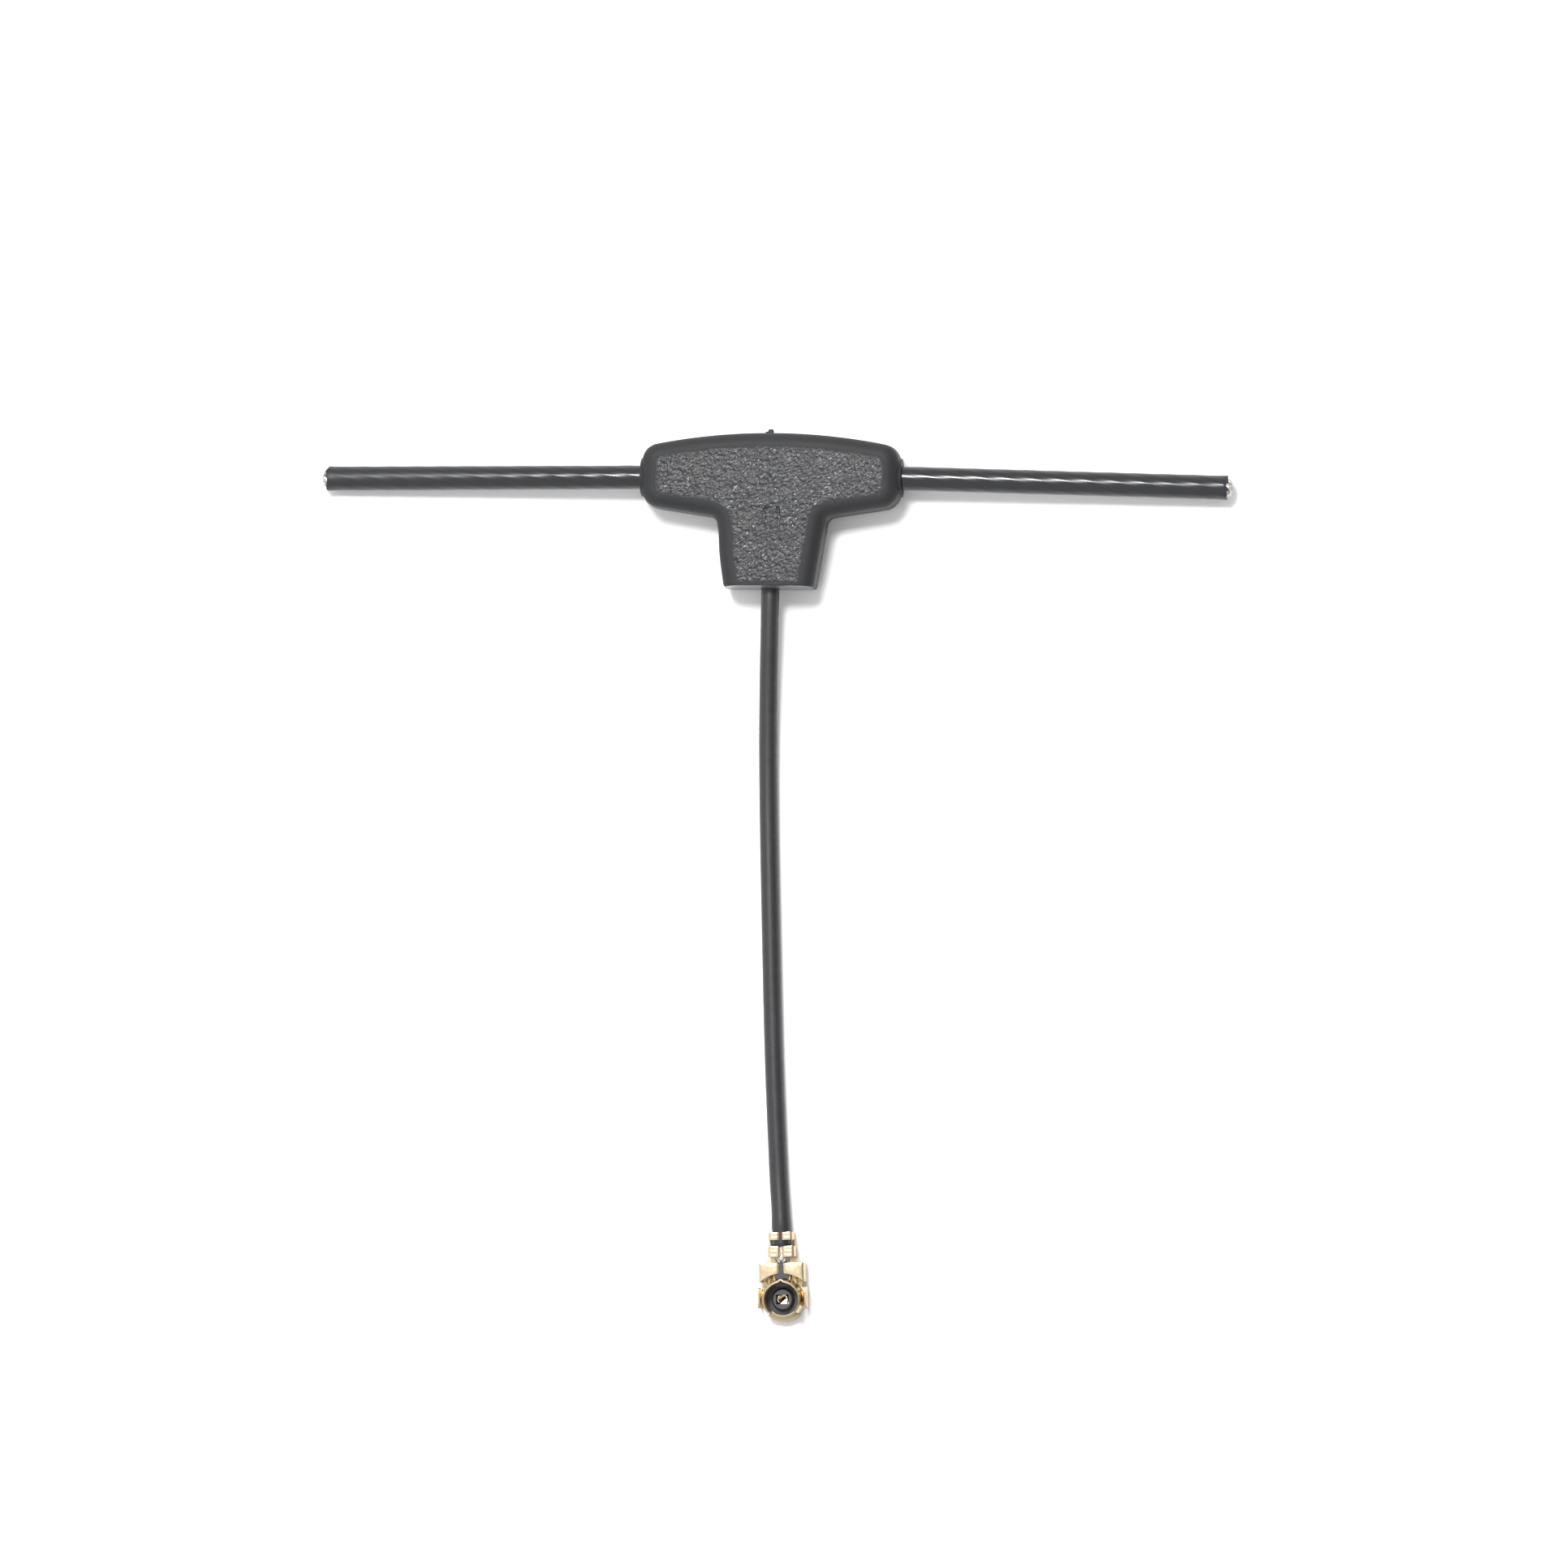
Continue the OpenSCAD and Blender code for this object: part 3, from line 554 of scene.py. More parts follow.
class ANTENNA_OT_stage(Operator):
    """Lay the floor, light the room and set the camera"""

    bl_idname = "antenna.stage"
    bl_label = "Stage"

    def execute(self, context):
        s = context.scene.antenna_stage
        self.floor(s)
        self.lights(context, s)
        self.camera(context, s)
        return {"FINISHED"}

    def floor(self, s):
        half = 0.6
        corners = [(-half, -half, 0), (half, -half, 0), (half, half, 0), (-half, half, 0)]
        floor = object_of("floor", corners, [(0, 1, 2, 3)])
        finish = Finish("Studio floor", s.floor_tone, 0.8, specular=0.2)
        finish.tint(finish.ramp(finish.noise(40 * MM), 0.3, 0.7, 0.0, 0.2), shade(s.floor_tone, 0.98))
        floor.data.materials.append(finish.material)

    def lights(self, context, s):
        world = bpy.data.worlds.new("White room")
        world.use_nodes = True
        nodes, links = world.node_tree.nodes, world.node_tree.links
        background = nodes["Background"]
        set_inputs(background, Strength=s.room_light)
        split = nodes.new("ShaderNodeSeparateXYZ")
        links.new(nodes.new("ShaderNodeTexCoord").outputs["Generated"], split.inputs[0])
        falloff = nodes.new("ShaderNodeMapRange")
        set_inputs(falloff, From_Min=0.1, From_Max=0.75, To_Min=1.08, To_Max=0.3)
        links.new(split.outputs["X"], falloff.inputs["Value"])
        links.new(falloff.outputs["Result"], background.inputs["Color"])
        context.scene.world = world
        context.scene.view_settings.view_transform = "Standard"
        lamp = bpy.data.lights.new("key", "AREA")
        lamp.shape = "RECTANGLE"
        lamp.size, lamp.size_y = 80 * MM, 55 * MM
        lamp.energy = s.key_power
        key = bpy.data.objects.new("key", lamp)
        aim, reach = Vector((0, -0.012, 0.002)), 0.3
        away = Vector((-0.1, 0.34, 0.94)).normalized()
        key.location = aim + away * reach
        key.rotation_euler = away.to_track_quat("Z", "Y").to_euler()
        context.scene.collection.objects.link(key)

    def camera(self, context, s):
        lens = bpy.data.cameras.new("camera")
        lens.sensor_width = 36.0
        lens.lens = 200.0
        lens.clip_start = 0.01
        lens.clip_end = 10.0
        target = Vector((0.955, -18.87, 1.0)) * MM
        distance = s.view_width * lens.lens / lens.sensor_width
        right_part, down_part = math.sin(s.tilt_right), math.sin(s.tilt_down)
        back = Vector((right_part, -down_part, math.sqrt(1 - right_part ** 2 - down_part ** 2)))
        up = (Vector((0, 1, 0)) - back * back.y).normalized()
        right = up.cross(back)
        rolled = math.cos(s.roll) * right + math.sin(s.roll) * up
        raised = back.cross(rolled)
        camera = bpy.data.objects.new("camera", lens)
        camera.matrix_world = Matrix.Translation(target + back * distance) @ Matrix(
            (rolled, raised, back)).transposed().to_4x4()
        context.scene.collection.objects.link(camera)
        context.scene.camera = camera


class ANTENNA_OT_lead(Operator):
    """Sweep the lead's satin jacket along its route"""

    bl_idname = "antenna.lead"
    bl_label = "Lead"

    def execute(self, context):
        s = context.scene.antenna_lead
        plug = context.scene.antenna_plug
        path = jacket_path(plug)
        total = sum((b - a).length for a, b in zip(path, path[1:]))
        crimp = total - 0.86 * MM
        radius = s.diameter / 2

        def outside(along, angle):
            wave = noise.noise(Vector((along / (1.7 * MM), math.cos(angle), math.sin(angle))))
            swell = 0.05 * math.exp(-((along - crimp + 0.45 * MM) / (0.5 * MM)) ** 2)
            seated = clamped((crimp - along) / (0.2 * MM)) * clamped((along - 5 * MM) / MM)
            return radius * (1.0 + seated * (swell + 0.008 * wave))

        outer = swept(path, outside, 28)
        inner = swept(path, s.braid_diameter / 2 + 0.004 * MM, 28)
        piece = new_piece("lead_jacket", *walled(outer, inner), jacket_of_the_lead(s))
        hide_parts("cable_jacket")
        return {"FINISHED"}


class ANTENNA_OT_housing(Operator):
    """Mould the T-shaped housing with its rounded edges and grained faces"""

    bl_idname = "antenna.housing"
    bl_label = "Housing"

    def execute(self, context):
        s = context.scene.antenna_housing
        arms = context.scene.antenna_arms
        lead = context.scene.antenna_lead
        rings = self.levels(s)
        points, faces = skinned(rings, False)
        count = len(rings[0])
        top = self.face(s, rings[-1], 0.062 * MM, 1.0)
        back = self.face(s, rings[0], 0.14 * MM, -1.0)
        points, faces = self.closed(points, faces, count, top, back)
        piece = new_piece("housing", points, faces, plastic_of_the_housing(s))
        self.fittings(piece, s, arms, lead)
        self.mark_grain(piece, s)
        piece.data.shade_smooth()
        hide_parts("t_housing")
        return {"FINISHED"}

    def half_outline(self, s, e, pull):
        """Right half of the outline, from the middle of the stem's end to the
        top of the crown. e is how far round the edge the level lies."""
        def line(point, heading, shift):
            side = Vector((-math.sin(heading), math.cos(heading)))
            return Vector(point) + side * (pull + shift * e), heading

        def meet(a, b):
            u = Vector((math.cos(a[1]), math.sin(a[1])))
            v = Vector((math.cos(b[1]), math.sin(b[1])))
            gap = b[0] - a[0]
            return a[0] + u * ((gap.x * v.y - gap.y * v.x) / (u.x * v.y - u.y * v.x))

        def arc(centre, radius, start, end, count):
            return [
                centre + radius * Vector((math.cos(a), math.sin(a)))
                for a in evenly(start, end, count)]

        def rounding(a, b, radius, count):
            turn = 1 if b[1] > a[1] else -1
            aside = [
                (p + turn * radius * Vector((-math.sin(h), math.cos(h))), h) for p, h in (a, b)]
            return arc(meet(*aside), radius, a[1] - turn * math.pi / 2, b[1] - turn * math.pi / 2, count)

        stem_root = Vector((s.stem_root_width / 2, -s.waist_drop))
        stem_end = Vector((s.stem_end_width / 2, -s.stem_length))
        wing_tip = Vector((s.width / 2, -s.wing_drop))
        stem_way = math.atan2(*(stem_root - stem_end).yx)
        wing_way = math.atan2(*(wing_tip - stem_root).yx)
        bottom = line(stem_end, 0.0, s.stem_end_edge)
        stem = line(stem_end, stem_way, s.stem_edge)
        wing = line(stem_root, wing_way, s.wing_edge)
        crown = s.crown_radius - pull - s.crown_edge * e
        radius = s.corner_radius + (s.face_corner_radius - s.corner_radius) * e
        centre = Vector((0, s.crown_height - s.crown_radius))
        reach = s.width / 2 - pull - s.end_edge * e
        corner = Vector((reach - radius, centre.y + math.sqrt((crown - radius) ** 2 - (reach - radius) ** 2)))
        crown_from = math.atan2(corner.y - centre.y, corner.x)
        end = (Vector((reach, 0)), math.pi / 2)
        bends = [
            rounding(bottom, stem, s.stem_corner_radius, 6),
            rounding(stem, wing, s.waist_radius + (s.stem_edge + s.wing_edge) / 2 * e, 16),
            rounding(wing, end, radius, 16),
            arc(corner, radius, 0, crown_from, 16),
            arc(centre, crown, crown_from, math.pi / 2, 90)[1:],
        ]
        straights = (36, 40, 30, 30)
        outline = []
        last = Vector((0, bottom[0].y))
        for bend, count in zip(bends, straights + (0,)):
            outline += [last.lerp(bend[0], i / count) for i in range(count)]
            outline += bend[:-1] if count else bend
            last = bend[-1]
        return outline

    def ring(self, s, z, e, pull):
        """Closed outline at a height. The left root of the stem is a little narrower."""
        half = self.half_outline(s, e, pull)
        left = []
        for p in half[-2:0:-1]:
            off = (Vector((p.x, -p.y)) / MM - Vector((2.9, 3.1))).length
            left.append(Vector((0.2 * MM * math.exp(-(off / 1.3) ** 2) - p.x, p.y, z)))
        return [Vector((p.x, p.y, z)) for p in half] + left

    def levels(self, s):
        """Rings from the back to the front. A fine groove marks the parting line."""
        middle = s.thickness / 2
        pull = (middle - s.edge_height) * math.tan(s.draft)
        groove, groove_half = 0.022 * MM, 0.03 * MM
        upper = [(groove_half, 0.0, 0.0), (0.3 * MM, 0.0, pull * 0.33), (0.6 * MM, 0.0, pull * 0.67)]
        steps = 14
        for i in range(steps + 1):
            a = math.pi / 2 * i / steps
            upper.append((middle - s.edge_height + s.edge_height * math.sin(a), 1 - math.cos(a), pull))
        stack = [(-z, e, p) for z, e, p in upper[::-1]] + [(0.0, 0.0, groove)] + upper
        return [self.ring(s, middle + z, e, p) for z, e, p in stack]

    def sink(self, s, x, y):
        """Depth of the arch-shaped mark where the plastic has sunk over the lead."""
        top, half, width = -2.03 * MM, 0.46 * MM, 0.05 * MM
        corner = 0.2 * MM
        x -= 0.2 * MM
        if y > top - corner:
            dx = max(0.0, abs(x) - (half - corner))
            gap = abs(math.hypot(dx, y - (top - corner)) - corner)
        else:
            gap = abs(abs(x) - half)
        run_out, depth = 2.4 * MM, 0.042 * MM
        fade = clamped((y + s.stem_length - run_out) / run_out)
        return depth * fade * math.exp(-(gap / width) ** 2)

    def face(self, s, ring, step, side):
        """Flat face inside a ring, with its grain pressed in."""
        border = [Vector((p.x, p.y)) / MM for p in ring]
        spacing = step / MM
        low = Vector((min(p.x for p in border), min(p.y for p in border)))
        high = Vector((max(p.x for p in border), max(p.y for p in border)))
        edges = [(i, (i + 1) % len(border)) for i in range(len(border))]
        inside = []
        row_share = 0.866
        for j in range(1, int((high.y - low.y) / (spacing * row_share))):
            y = low.y + j * spacing * row_share
            for left, right in spans(border, y):
                x = left + spacing * (0.7 if j % 2 else 1.1)
                while x < right - spacing * 0.6:
                    inside.append(Vector((x, y)))
                    x += spacing
        verts, _, tris, *_ = geometry.delaunay_2d_cdt(border + inside, edges, [], 1, 1e-6)
        z = ring[0].z
        rim = self.rim(border)
        points = []
        for i, p in enumerate(verts):
            x, y = p.x * MM, p.y * MM
            if i < len(border):
                points.append(ring[i])
                continue
            fade = min(1.0, rim.find((p.x, p.y, 0.0))[2] / 0.12)
            lump = noise.noise(Vector((x, y, side)) / s.grain_step) + 0.5 * noise.noise(
                Vector((x, y, side + 3)) / (s.grain_step * 2.6))
            height = s.grain_depth * fade * (lump - 0.4)
            height = height - self.sink(s, x, y) if side > 0 else min(height, 0.0)
            points.append(Vector((x, y, z + side * height)))
        return points, tris

    def rim(self, outline):
        """Tree that finds how far a point is from an outline."""
        tree = kdtree.KDTree(4 * len(outline))
        for i, p in enumerate(outline):
            ahead = outline[(i + 1) % len(outline)]
            for k in range(4):
                q = p.lerp(ahead, k / 4)
                tree.insert((q.x, q.y, 0.0), 4 * i + k)
        tree.balance()
        return tree

    def closed(self, points, faces, count, top, back):
        """Welds the two flat faces to the first and last ring."""
        for (face_points, tris), start, flip in ((top, len(points) - count, False), (back, 0, True)):
            index = [start + i for i in range(count)]
            for p in face_points[count:]:
                index.append(len(points))
                points.append(p)
            for tri in tris:
                a, b, c = (index[i] for i in tri)
                faces.append((a, c, b) if flip else (a, b, c))
        return points, faces

    def fittings(self, piece, s, arms, lead):
        """Adds the shut-off lands and the gate stub, and bores the three exits."""
        middle = s.thickness / 2
        root, r, out = 0.6 * MM, s.land_diameter / 2, s.land_height
        profile = [
            (0, -root), (r, -root), (r, out - 0.02 * MM), (r - 0.006 * MM, out - 0.006 * MM), (r - 0.02 * MM, out),
            (0, out)]
        for side in (-1, 1):
            turn = standing((side * s.width / 2, 0, middle), side * math.pi / 2, "Y")
            cut_or_joined(piece, placed(revolved(profile, 96), turn), "UNION")
        for x, share in ((-0.1, 1.0), (-0.35, 0.5)):
            turn = standing((x * MM, s.crown_height, middle), -math.pi / 2, "X")
            cut_or_joined(piece, placed(self.stub(share), turn), "UNION")
        r, seat, floor = arms.diameter / 2 + 0.006 * MM, -arms.seat, -arms.seat - 1.6 * MM
        profile = [
            (0, floor), (r - arms.seat_squeeze, floor), (r - arms.seat_squeeze, seat), (r, 0.0),
            (r + 0.006 * MM, s.land_height), (r + 0.012 * MM, MM), (0, MM)]
        for side in (-1, 1):
            cut_or_joined(piece, placed(revolved(profile, 72), arm_matrix(side, s, arms)), "DIFFERENCE")
        r, start, end = lead.diameter / 2 + 0.008 * MM, 1.9 * MM, s.stem_length
        mouth = r + 0.05 * MM
        profile = [(0, start), (r, start), (r, end - 0.1 * MM), (mouth, end), (mouth, end + MM), (0, end + MM)]
        turn = standing((0, 0, middle), math.pi / 2, "X")
        cut_or_joined(piece, placed(revolved(profile, 72), turn), "DIFFERENCE")

    def stub(self, share):
        """Torn-off gate, with a ragged top."""
        r, h = 0.19 * MM * share, 0.27 * MM * share
        profile = [
            (0, -0.2 * MM), (r, -0.2 * MM), (r * 0.97, 0.3 * h), (r * 0.88, 0.7 * h), (r * 0.75, 0.93 * h),
            (r * 0.5, h), (0, 0.95 * h)]
        points, faces = revolved(profile, 24)
        ragged = []
        for p in points:
            p = Vector(p)
            if p.z > 0.05 * MM:
                p += 0.03 * MM * share * noise.noise_vector(p / (0.12 * MM))
                p.z = min(p.z, h)
            ragged.append(p)
        return ragged, faces

    def mark_grain(self, piece, s):
        """Marks the grain, the stem's end wall and the gloss. The grain ends in a
        soft, uneven line along the edge of each flat face."""
        middle, slope = s.thickness / 2, math.tan(s.draft)
        near, row_gap = 0.05 * MM, 0.02 * MM
        fade, unevenness, lump = 0.3 * MM, 0.09 * MM, 0.25 * MM
        wall_reach, wall_gloss, grain_gloss = middle - s.edge_height + 0.02 * MM, 0.42, 0.6
        outline = [p.xy for p in self.ring(s, 0.0, 0.84, (middle - s.edge_height) * slope)]
        rim, rows = self.rim(outline), {}
        marks = {"grain": [], "end_wall": [], "gloss": []}
        for vert in piece.data.vertices:
            x, y, z = vert.co
            off, grain = abs(z - middle), 0.0
            if not near < z < s.thickness - near:
                row = round(y / row_gap)
                if row not in rows:
                    rows[row] = spans(outline, (row + 0.03) * row_gap)
                if any(low < x < high for low, high in rows[row]):
                    depth = rim.find((x, y, 0.0))[2] + unevenness * noise.noise(vert.co / lump)
                    grain = clamped(depth / fade)
            # The end wall takes a painted reflection of the floor in its colour, and more gloss.
            end_wall = float(y < 0.01 * MM - s.stem_length + off * slope)
            wall = wall_gloss if off < wall_reach else 0.0
            marks["grain"].append(grain)
            marks["end_wall"].append(end_wall)
            marks["gloss"].append(grain_gloss * grain + max(end_wall, wall))
        for name, values in marks.items():
            mark_points(piece, name, values)


class ANTENNA_OT_arm_jackets(Operator):
    """Extrude the two glossy jackets, rippled by the strands inside"""

    bl_idname = "antenna.arm_jackets"
    bl_label = "Arm jackets"

    def execute(self, context):
        housing = context.scene.antenna_housing
        s = context.scene.antenna_arms
        material = jacket_of_the_arms(s)
        for side, name, length in both_arms(s):
            (points, faces), strand = self.tube(s, side, length)
            part = placed((points, faces), arm_matrix(side, housing, s))
            piece = new_piece(f"{name}_jacket_dressed", *part, material)
            mark_points(piece, "strand", strand)
            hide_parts(f"{name}_jacket")
        return {"FINISHED"}

    def tube(self, s, side, length):
        """Points, faces and how near each point is to a strand below it."""
        sides, radius = 72, s.diameter / 2
        core = radius - s.wall
        inner_end = s.seat + 1.0 * MM
        strand = []

        def ring(z, base, amount, ragged=0.0):
            points = []
            nip = max(0.0, 1 - (length - z) / (0.7 * MM)) if amount else 0.0
            worn = 0.25 * min(1.0, max(0.0, z / length - 0.3) / 0.4) if side < 0 else 0.0
            for k in range(sides):
                a = math.tau * k / sides
                ripple = math.cos(6 * (a - math.tau * (z + inner_end) / s.strand_lay))
                uneven = noise.noise(Vector((z / (2.1 * MM), math.cos(a) + side, math.sin(a))))
                weak = 0.5 + 0.5 * noise.noise(Vector((z / (1.9 * MM), side * 3.0, 0.5)))
                r = base + amount * (s.ripple * (ripple + 1) / 2 + 0.008 * MM * (uneven + 1.0))
                lift = ragged * noise.noise(Vector((math.cos(a) * 1.7, math.sin(a) * 1.7, side * 5)))
                points.append(Vector((r * math.cos(a), r * math.sin(a) * (1 + 0.05 * nip * nip), z + lift)))
                taut = 0.55 + 0.15 * amount * (0.6 * ripple + 0.8 * weak - 0.3)
                strand.append(taut - worn)
            return points

        outer = [ring(-s.seat, radius - s.seat_squeeze, 0.0), ring(-0.1 * MM, radius - 0.001 * MM, 0.0)]
        z = 0.05 * MM
        while z < length - 0.16 * MM:
            outer.append(ring(z, radius, min(1.0, z / (0.8 * MM))))
            z += 0.1 * MM
        edge, torn = 0.05 * MM, 0.12 * MM
        for i in range(5):
            a = math.pi / 2 * i / 4
            outer.append(ring(length - edge + edge * math.sin(a), radius - edge * (1 - math.cos(a)), 1.0, torn))
        inner = [ring(length - 0.02 * MM, core + 0.02 * MM, 0.0, torn), ring(length - 0.12 * MM, core, 0.0)]
        inner += [ring(length * 0.5, core, 0.0), ring(-s.seat, core, 0.0)]
        strand += strand[:sides]
        return skinned(outer + inner + outer[:1], False), strand


class ANTENNA_OT_strands(Operator):
    """Lay the seven strands of each arm and nip their ends"""

    bl_idname = "antenna.strands"
    bl_label = "Strands"

    def execute(self, context):
        housing = context.scene.antenna_housing
        s = context.scene.antenna_arms
        material = plated("Plated strands", s.strand_colour, 0.05 * MM, (0.3, 0.5))
        for side, name, length in both_arms(s):
            part = placed(self.bundle(s, side, length), arm_matrix(side, housing, s))
            piece = new_piece(f"{name}_strands_dressed", *part, material)
            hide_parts(f"{name}_strands")
        return {"FINISHED"}

    def bundle(self, s, side, length):
        core = s.diameter / 2 - s.wall - 0.002 * MM
        start = -s.seat - 1.0 * MM
        tip = length + s.strand_tip
        pitch, r = core * 2 / 3, core / 3 - 0.002 * MM
        parts = []
        for n in range(7):
            out = 0.0 if n == 6 else pitch
            first = math.tau * n / 6
            short = 0.16 * MM * noise.noise(Vector((n * 3.1, side * 2.0, 0.5)))
            rings = []
            for z in evenly(start, tip, 120):
                near = max(0.0, 1 - (tip - z) / (0.3 * MM))
                a = first + math.tau * (z - start) / s.strand_lay
                centre = polar(out, a, z)
                ring = []
                for k in range(12):
                    p = centre + polar(r, math.tau * k / 12)
                    if near > 0:
                        wedge = math.tan(math.radians(12)) * abs(p.x) + 0.04 * MM * (
                            1 + noise.noise(Vector((p.x, p.y, side * MM)) / (0.08 * MM)))
                        p.z -= near * (wedge + max(0.0, short) + 0.16 * MM * (p.y / core) ** 2)
                        p.y *= 1 - 0.06 * near
                    ring.append(p)
                rings.append(ring)
            parts.append(skinned(rings))
        return joined(parts)


class ANTENNA_OT_braid(Operator):
    """Weave the braid where it shows between the plug's bands"""

    bl_idname = "antenna.braid"
    bl_label = "Braid"

    def execute(self, context):
        s = context.scene.antenna_lead
        plug = context.scene.antenna_plug
        matrix = plug_matrix(plug)
        stations = [Vector((0, -1.5, 1.7)) * MM] + lead_stations(plug)[:18]
        straight = {0: 1, 1: 0, 2: 1, 14: 15, 15: 16, 16: 17, 17: 18, 18: 17}
        path = smooth_route(stations, straight, 0.4 * MM)
        under = s.braid_diameter / 2 - 0.045 * MM
        parts = [walled(swept(path, under, 20), swept(path, s.dielectric_diameter / 2 + 0.002 * MM, 20))]
        parts.append(self.pigtail())
        parts += [placed(part, matrix) for part in self.weave(s)]
        material = plated("Tinned braid", s.braid_colour, 0.04 * MM, (0.3, 0.5))
        piece = new_piece("lead_braid", *joined(parts), material)
        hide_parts("cable_braid")
        return {"FINISHED"}

    def pigtail(self):
        route = [(0.53, -1.5, 1.7), (0.53, -1.2, 1.7), (0.8, -0.6, 1.78), (1.15, -0.1, 1.84), (1.5, 0.1, 1.86)]
        path = smooth_route([Vector(p) * MM for p in route], {}, 0.1 * MM)

        def twisted(along, angle):
            return 0.17 * MM + 0.01 * MM * math.cos(7 * angle - along / (0.1 * MM))

        return skinned(swept(path, twisted, 28))

    def weave(self, s):
        """Bundles of fine wires that pass over and under each other."""
        start, end, turn_length, wire = 2.25 * MM, 3.2 * MM, 2.9 * MM, 0.024 * MM
        middle = s.braid_diameter / 2 - wire - 0.012 * MM
        parts = []
        for way in (-1, 1):
            for bundle in range(s.braid_wires):
                for strand in (-1, 0, 1):
                    first = math.tau * bundle / s.braid_wires + strand * 0.115 + (0.1 if way > 0 else 0)
                    path = []
                    for y in evenly(start, end, 22):
                        a = first + way * math.tau * y / turn_length
                        over = math.sin(s.braid_wires * math.tau * y / turn_length + bundle * math.pi)
                        r = middle + way * 0.012 * MM * over
                        path.append(Vector((r * math.cos(a), y, LEAD_IN_PLUG + r * math.sin(a))))
                    parts.append(skinned(swept(path, wire, 6)))
        return parts


class ANTENNA_OT_plug_shell(Operator):
    """Stamp, curl and crimp the plug's shell from one gold-plated sheet"""

    bl_idname = "antenna.plug_shell"
    bl_label = "Plug shell"

    def execute(self, context):
        s = context.scene.antenna_plug
        parts = [self.blank(), self.barrel(), self.hinge()]
        for side in (-1, 1):
            parts += [
                self.plate(side, 1.5, -0.52, 0.75, 1.4),
                self.plate(side, 0.54, 1.12, 2.2, 1.16),
                self.plate(side, 0.89, 0.9, 2.2, 0.98),
                self.plate(side, 0.775, 3.24, 3.68, 0.5),
                self.wing(side, self.neck_section(), self.neck_front, 2.23, 0.1, ()),
                self.wing(side, self.crimp_section(1.7, 1.14, 0.115), 2.61, 3.27, 0.13, (
                    (0.44, 2.81, 0.16, 0.055), (0.44, 3.06, 0.17, 0.05))),
                self.wing(side, self.crimp_section(1.55, 1.37, 0.0), 3.65, 4.13, 0.14, (
                    (0.4, 3.9, 0.15, 0.06),)),
            ]
        points, faces = placed(joined(parts), plug_matrix(s) @ Matrix.Scale(MM, 4))
        material = plated("Gold plating", s.gold_colour, 0.06 * MM, (0.2, 0.36))
        piece = new_piece("plug_shell", points, faces, material)
        for name, share, step, roughness in (
                ("Sheared edge", 0.6, 0.03 * MM, (0.45, 0.6)),
                ("Dull plating of the front strip", 0.58, 0.05 * MM, (0.4, 0.52))):
            piece.data.materials.append(plated(name, shade(s.gold_colour, share), step, roughness))
        base_faces, barrel_faces, strip_faces = (len(part_faces) for _, part_faces in parts[:3])
        for face in piece.data.polygons[base_faces + barrel_faces:base_faces + barrel_faces + strip_faces]:
            face.material_index = 2
        thicken(piece, s.sheet, s.edge_break)
        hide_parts("ground_contact")
        return {"FINISHED"}

    def blank(self):
        """Base of the plug, as it is cut from the strip."""
        def round_the_axis(r, start, end, count):
            return [polar(r, math.radians(angle)) for angle in evenly(start, end, count)]

        half = round_the_axis(1.36, -90, -46, 10) + round_the_axis(1.27, -44, -24.2, 5) + [
            Vector((x, y, 0.0)) for x, y in (
                (1.46, -0.52), (1.46, 0.75), (1.08, 0.75), (1.18, 1.08), (1.18, 2.23), (0.8, 2.55), (0.7, 2.75),
                (0.72, 4.13), (0.35, 4.13))]
        outline = half + [Vector((-p.x, p.y, 0.0)) for p in half[:0:-1]]
        return outline[::-1], [tuple(range(len(outline)))]

    def barrel(self):
        """Wall that leans in over the base, grips along the land and flares at
        the mouth. Its two ends curl back at the seam."""
        profile = (
            (1.27, 0.0), (1.27, 0.3), (1.26, 0.55), (1.245, 0.8), (1.2, 0.98), (1.145, 1.12), (1.12, 1.25),
            (1.12, 1.45), (1.12, 1.65), (1.122, 1.76), (1.135, 1.84), (1.17, 1.9))
        parts = []
        for start, end in ((-45.0, 87.2), (92.8, 225.0)):
            rows = []
            for r, z in profile:
                row = []
                for angle in evenly(start, end, 40):
                    near = max(0.0, 1 - min(abs(angle - 90) - 2.8, 9.0) / 9.0)
                    out = r + 0.11 * near ** 2 * clamped((z - 1.0) / 0.4)
                    row.append(polar(out, math.radians(angle), z))
                rows.append(row)
            parts.append(gridded(rows))
        return joined(parts)

    def hinge(self):
        """Front strip that stands on the base and curls in over the channel."""
        profile = [(1.38, 0.0), (1.38, 0.2), (1.38, 0.4)] + self.corner(0.96, 0.52, 0.42, 0, 88, 8)
        angles = [math.radians(angle) for angle in evenly(-134, -46, 24)]
        return gridded([[polar(r, angle, z) for angle in angles] for r, z in profile])

    def plate(self, side, x, start, end, height):
        """Upright plate whose outer face stands at x."""
        corner = 0.1
        rows = []
        for z in (0.02, 0.3 * height, 0.7 * height, height - corner, height - 0.4 * corner, height):
            inset = corner - math.sqrt(max(0.0, corner ** 2 - max(0.0, z - height + corner) ** 2))
            rows.append([Vector((side * x, y, z)) for y in evenly(start + inset, end - inset, 4)])
        return gridded(rows, side < 0)

    def neck_front(self, x):
        return max(1.08, math.sqrt(2.04 ** 2 - x ** 2) - 0.45)

    def corner(self, x, z, r, start, end, count=6):
        angles = (math.radians(angle) for angle in evenly(start, end, count))
        return [(x + r * math.cos(a), z + r * math.sin(a)) for a in angles]

